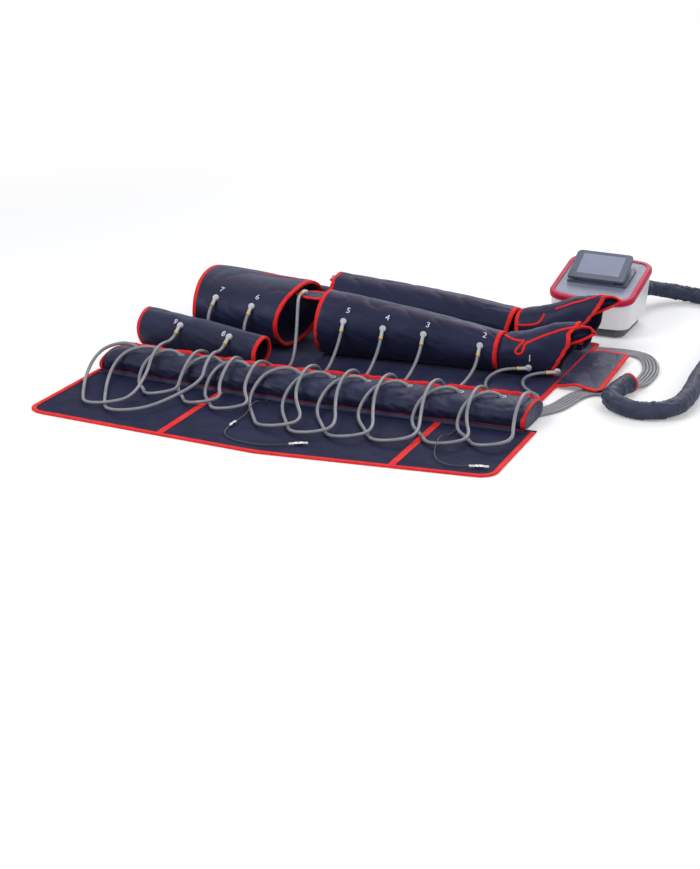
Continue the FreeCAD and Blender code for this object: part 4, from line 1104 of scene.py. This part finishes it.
baseMat = makeCloth("baseMat", mat, "base_mat")
outlineTape("baseMatTape", mat)
sideSkirt = makeCloth("sideSkirt", skirt, "skirt_panel")
outlineTape("sideSkirtTape", skirt, outsideRoll)
for index, x in enumerate(skirt["stripes"]):
    u = (x - skirt["near"][0][0]) / (skirt["near"][-1][0] - skirt["near"][0][0])
    low, high = lineAt(skirt["near"], u), lineAt(skirt["far"], u)
    stations = []
    for k in range(50):
        p = low.lerp(high, mix(*skirt["stripeSpan"], k / 49))
        stations.append((here(p.x, p.y, skirt["top"] + 0.0001), Vector((1, 0, 0)), upward))
    band("skirtStripe%d" % (index + 1), stations, stripProfile(*skirt["stripe"]), False, redTape)
print("mat and skirt are made")


# padded channel that the hoses run in

eyelets = [loop[1] for _, loop, _ in hoses.values()]
channelStart, channelEnd = channel["sections"][0][0], channel["sections"][-1][0]


def channelLift(x, angle):
    turn = Vector((math.cos(angle), math.sin(angle)))
    broad = noiseAt(x * 7, turn.x, turn.y + 3)
    fold = ridgeAt(7, x * 15 + turn.y * 1.6, turn.x * 1.1 + 2, turn.y * 0.9)
    small = ridgeAt(6, x * 34 - turn.x * 2.5, turn.x * 1.6, turn.y * 1.4 + 8)
    fine = noiseAt(x * 60, turn.x * 4, turn.y * 4)
    lift = 0.0020 * broad - channel["foldDepth"] * (fold - 0.28) - 0.0022 * (small - 0.3) + 0.0003 * fine
    if turn.y > 0.5:  # calm around each eyelet
        nearest = min(math.hypot(x - e, channelPlace(x)[1] * turn.x + 0.005) for e in eyelets)
        lift = mix(0.0004, lift, smooth(0.013, 0.045, nearest))
    return lift


def rounding(distance, reach):  # 1 at an end, 0 from reach on
    return 1 - math.sqrt(max(1 - (1 - min(distance / reach, 1)) ** 2, 0.0))


def channelSpot(x, angle, lift):
    y, z, w, h = valuesAt(channel["sections"], x)
    across, up = math.cos(angle), math.sin(angle)
    if up < 0:  # near lower side stands fuller on the skirt, the far one over the hose ends
        full = 0.6 if across > 0 else mix(1.0, 0.6, smooth(0.0, 0.05, x))
        across, up = math.copysign(abs(across) ** full, across), -abs(up) ** full
    shut, eased = rounding(x - channelStart, 0.05), rounding(channelEnd - x, 0.022)
    squeeze = 1 - 0.62 * shut - 0.30 * eased
    height = z + (h * squeeze + lift) * up - h * (1 - squeeze) * 0.5
    lowest = 0.0047 if across > 0.2 else 0.0008
    return here(x, y - (w * (1 - 0.10 * shut - 0.03 * eased) + lift) * across, max(height, lowest))


def makeChannel():
    rows, columns = channel["rows"], channel["columns"]
    points = []
    for i in range(rows + 1):
        x = channelStart + 0.0005 + (channelEnd - channelStart - 0.001) * (i / rows)
        edge = smooth(0, 0.03, min(x - channelStart, channelEnd - x))
        for j in range(columns):
            angle = 2 * math.pi * j / columns
            points.append(channelSpot(x, angle, channelLift(x, angle) * edge))
    faces = ringFaces(rows + 1, columns, caps=False)
    for base, sign in ((0, -1), (rows * columns, 1)):  # domed ends
        ring = points[base:base + columns]
        middle = sum(ring, Vector((0, 0, 0))) / columns
        before = range(base, base + columns)
        for step in (0.75, 0.5, 0.25):
            bulge = Vector((sign * (0.0035 * math.sqrt(1 - step * step) - 0.004), 0, 0))
            now = range(len(points), len(points) + columns)
            points += [middle.lerp(p, step) + bulge for p in ring]
            for j in range(columns):
                k = (j + 1) % columns
                faces.append((before[j], before[k], now[k], now[j]))
            before = now
        points.append(middle + Vector((sign * -0.0005, 0, 0)))
        for j in range(columns):
            faces.append((before[j], before[(j + 1) % columns], len(points) - 1))
    roll = piece("hoseChannel", points, faces, navyNylon)
    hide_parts("near_channel")


def channelSpan(key):
    return channelStart + channel[key][0], channelEnd - channel[key][1]


def makeChannelSeam():
    first, last = channelSpan("seamSpan")
    foot, steps = channel["foot"], 180
    points, line = [], []
    for i in range(steps + 1):
        x = mix(first, last, i / steps)
        y, w, _ = channelPlace(x)
        rise = channel["seamRise"] * mix(0.55, 1.0, smooth(0, 0.06, min(x - first, last - x)))
        rise += 0.0016 * noiseAt(x * 19, 4, 1)
        for s, t in ((-0.011, 0.0), (-0.0085, 0.0016), (-0.004, 0.0052), (-0.0006, rise * 0.75),
                     (0.003, rise), (0.011, rise + 0.0006), (0.016, rise * 0.5), (0.016, 0.0)):
            points.append(here(x, y - w + s, max(t, foot)))
        line.append((here(x, y - w + 0.0018, rise + 0.0004), Vector((0, 1, 0.35)).normalized(),
                     Vector((0, -0.35, 1)).normalized()))
    piece("channelSeam", points, ringFaces(steps + 1, 8), navyNylon)
    band("channelThread", line, stripProfile(*stripSizes["channelThread"]), False, redThread)


def makeChannelFlap():
    first, last = channelSpan("flapSpan")
    base = math.radians(channel["flapAngle"])
    stations = []
    steps = 200
    for i in range(steps + 1):
        x = mix(first, last, i / steps)
        pressed = 1 - smooth(0.008, 0.03, min(abs(x - crossing) for crossing in channel["crossings"]))
        root = channelSpot(x, base + 0.05 * noiseAt(x * 9, 1, 3), channelLift(x, base) - 0.0012)
        lean = Vector((0, 0.55 + 0.35 * noiseAt(x * 16, 2, 9) + 2.0 * pressed, 1.0)).normalized()
        stations.append((root, lean, Vector((0, 1, -lean.y)).normalized()))
    flap = channel["flapTall"]
    side = [(0.0, 0.0016), (flap * 0.5, 0.0018), (flap - 0.0008, 0.0014)]
    profile = [(-0.001, 0)] + side + [(flap, 0.0)] + [(s, -t) for s, t in reversed(side)]
    band("channelFlap", stations, profile, False, redTape)


def makeChannelEnds():
    steps = 60
    for name, (inset, lift) in channel["endTapes"].items():
        atStart = name == "channelStartTape"
        x = channelStart + inset if atStart else channelEnd - inset
        stations = []
        for i in range(steps + 1):
            angle = math.radians(mix(channel["flapAngle"], channel["tapeEnd"], i / steps))
            p = channelSpot(x, angle, lift)
            out = (channelSpot(x, angle, 0.01) - p).normalized()
            along = Vector((-1, 0, 0))
            if atStart:  # the roll closes towards this end
                along = channelSpot(x - 0.005, angle, lift) - channelSpot(x + 0.005, angle, lift)
                along = along.normalized()
                around = channelSpot(x, angle - 0.05, lift) - channelSpot(x, angle + 0.05, lift)
                normal = along.cross(around).normalized()
                out = normal if normal.dot(out) > 0 else -normal
            stations.append((p, along, out))
        band(name, stations, stripProfile(*stripSizes["channelEnd"]), False, redTape)


# each eyelet's opening is closed by a near-black disc: painted shade for the inside of the roll
def makeEyeletHoleShades():
    sides, radius = 24, channel["holeRadius"]
    for index, x in enumerate(eyelets):
        y, _, top = channelPlace(x)
        points = []
        for r, drop in ((radius, -0.0016), (radius, 0.0), (0.0066, -0.0003), (0.0035, -0.0005)):
            for k in range(sides):
                a = 2 * math.pi * k / sides
                points.append(here(x + r * math.cos(a), y + 0.005 + r * math.sin(a), top + 0.0010 + drop))
        piece("eyeletHoleShade%d" % (index + 1), points, ringFaces(4, sides), paintedHoleShade)


makeChannel()
makeChannelSeam()
makeChannelFlap()
makeChannelEnds()
makeEyeletHoleShades()
print("hose channel is made")


# end pad and hip pads

endPad = {
    "near": [(0.065, -0.716), (0.209, -0.730)], "far": [(0.065, -0.324), (0.193, -0.330)],
    "corner": 0.022, "farCorners": True, "middle": 0.0165, "joined": 0.0088, "thick": 0.0080,
    "border": 0.0022, "grid": (46, 110), "wave": 0.0060, "fill": 0.5, "tapeFrom": 0.0665,
}


def padHeight(x, y):
    t = smooth(0.066, 0.118, x)  # rises from the edge of the mat
    high = mix(endPad["joined"], endPad["middle"], t)
    near = 1 - smooth(-0.730, -0.655, y)
    high += near * t * endPad["wave"] * (math.exp(-((x - 0.130) / 0.020) ** 2) - 0.25 * smooth(0.15, 0.2, x))
    return high + 0.0016 * t * noiseAt(x * 14, y * 7, 1)


def makePad():
    columns, rows = endPad["grid"]

    def pairAt(i, j):
        u, v = j / columns, i / rows
        p = clothPoint(endPad, u, v)
        right = mix(endPad["near"][1][0], endPad["far"][1][0], v)
        rim = min(right - p.x, p.y - lineAt(endPad["near"], u).y, lineAt(endPad["far"], u).y - p.y)
        half = mix(endPad["border"], endPad["thick"] / 2, smooth(0.010, 0.026, rim))
        ridge = ridgeAt(6, p.x * 16 + p.y * 7, p.y * 9 - p.x * 5, 3)
        crease = smooth(0.012, 0.03, rim) * (0.0022 * (0.3 - ridge) + 0.0009 * noise.noise(p.to_3d() * 30))
        h = padHeight(p.x, p.y)
        return here(p.x, p.y, h + half + crease), here(p.x, p.y, h - half + crease * 0.3)

    made = shell("endPad", *twoGrids(rows + 1, columns + 1, pairAt), False, navyNylon)
    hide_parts("end_pad")
    line = roundedWalk(endPad["near"] + endPad["far"][::-1], [0.004, 0.022, 0.022, 0.004], 0.006)
    stations = []
    for i, p in enumerate(line):
        if p.x > endPad["tapeFrom"]:
            inward = inwardOf(line, i).to_3d()
            q = p.to_3d() + inward * 0.01
            inward.z = (padHeight(q.x, q.y) - padHeight(p.x, p.y)) / 0.01
            stations.append((here(p.x, p.y, padHeight(p.x, p.y)), inward.normalized(), upward))
    profile = tapeProfile(tapeWidths["endPad"], endPad["border"] * 2 + 0.0018)
    band("endPadTape", stations, profile, False, redTape)


makePad()


hipPads = {
    "hipPadNear": [(-0.640, -0.660), (-0.742, -0.652), (-0.790, -0.676), (-0.790, -0.716), (-0.742, -0.738),
                   (-0.640, -0.730)],
    "hipPadFar": [(-0.672, -0.452), (-0.742, -0.448), (-0.764, -0.466), (-0.764, -0.500), (-0.742, -0.522),
                  (-0.672, -0.516)],
}
hipPad = {
    "bends": (0.008, 0.03, 0.018, 0.018, 0.03, 0.008), "height": 0.1795, "half": 0.0026, "fill": 0.3,
    "rings": 8,
}


def makeHipPad(name, corners):
    line = roundedWalk(corners, hipPad["bends"], 0.006)
    middle = sum(line, Vector((0, 0))) / len(line)
    height, rings = hipPad["height"], hipPad["rings"]
    top, bottom = [], []
    for i in range(rings + 1):
        t = i / rings
        half = hipPad["half"] * math.sqrt(max(1 - t ** 4, 0.05))
        ring = [middle.lerp(p, max(t, 0.02)) for p in line]
        top.append([here(q.x, q.y, height + half) for q in ring])
        bottom.append([here(q.x, q.y, height - half) for q in ring])
    made = shell(name, top, bottom, True, navyNylon)
    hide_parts("hip_pads")
    stations = [(here(p.x, p.y, height), (middle - p).normalized().to_3d(), upward) for p in line]
    band(name + "Tape", stations, tapeProfile(tapeWidths["hipPad"], 0.0058), True, redTape)


for name, corners in hipPads.items():
    makeHipPad(name, corners)
print("pads are made")


# floor, not part of the set

floorFacts = {"size": 9.0, "low": -0.0004, "tone": 0.82, "lift": 0.22, "fadeFrom": 1.5, "fadeTo": 3.4}
s, low = floorFacts["size"], floorFacts["low"]
ground = bpy.data.meshes.new("floor")
ground.from_pydata([(-s, -s, low), (s, -s, low), (s, s, low), (-s, s, low)], [], [(0, 1, 2, 3)])
floor = placed("floor", ground)
paper = bpy.data.materials.new("floorPaper")
tree = emptyTree(paper)
seen = seenRays(tree)
matte = makeNode(tree, "BsdfDiffuse", {"Color": (floorFacts["tone"],) * 3 + (1,)})
extra = makeNode(tree, "Emission", {"Strength": floorFacts["lift"]})
dark = makeNode(tree, "Emission", {"Strength": 0.0})
choose = makeNode(tree, "MixShader", None, {0: seen, 1: dark, 2: extra})
total = makeNode(tree, "AddShader", None, {0: matte, 1: choose})
where = makeNode(tree, "TexCoord").outputs["Object"]
away = makeNode(tree, "VectorMath", None, {0: where}, "LENGTH").outputs["Value"]
fade = makeNode(tree, "MapRange", {"From Min": floorFacts["fadeFrom"], "From Max": floorFacts["fadeTo"]},
                {"Value": away})  # to plain white away from the set
fade.interpolation_type = "SMOOTHSTEP"
onlySeen = makeNode(tree, "Math", None, {0: fade, 1: seen}, "MULTIPLY")
plain = makeNode(tree, "Emission", {"Strength": 1.0})
both = makeNode(tree, "MixShader", None, {0: onlySeen, 1: total, 2: plain})
makeNode(tree, "OutputMaterial", None, {"Surface": both})
ground.materials.append(paper)

print("everything is in place")
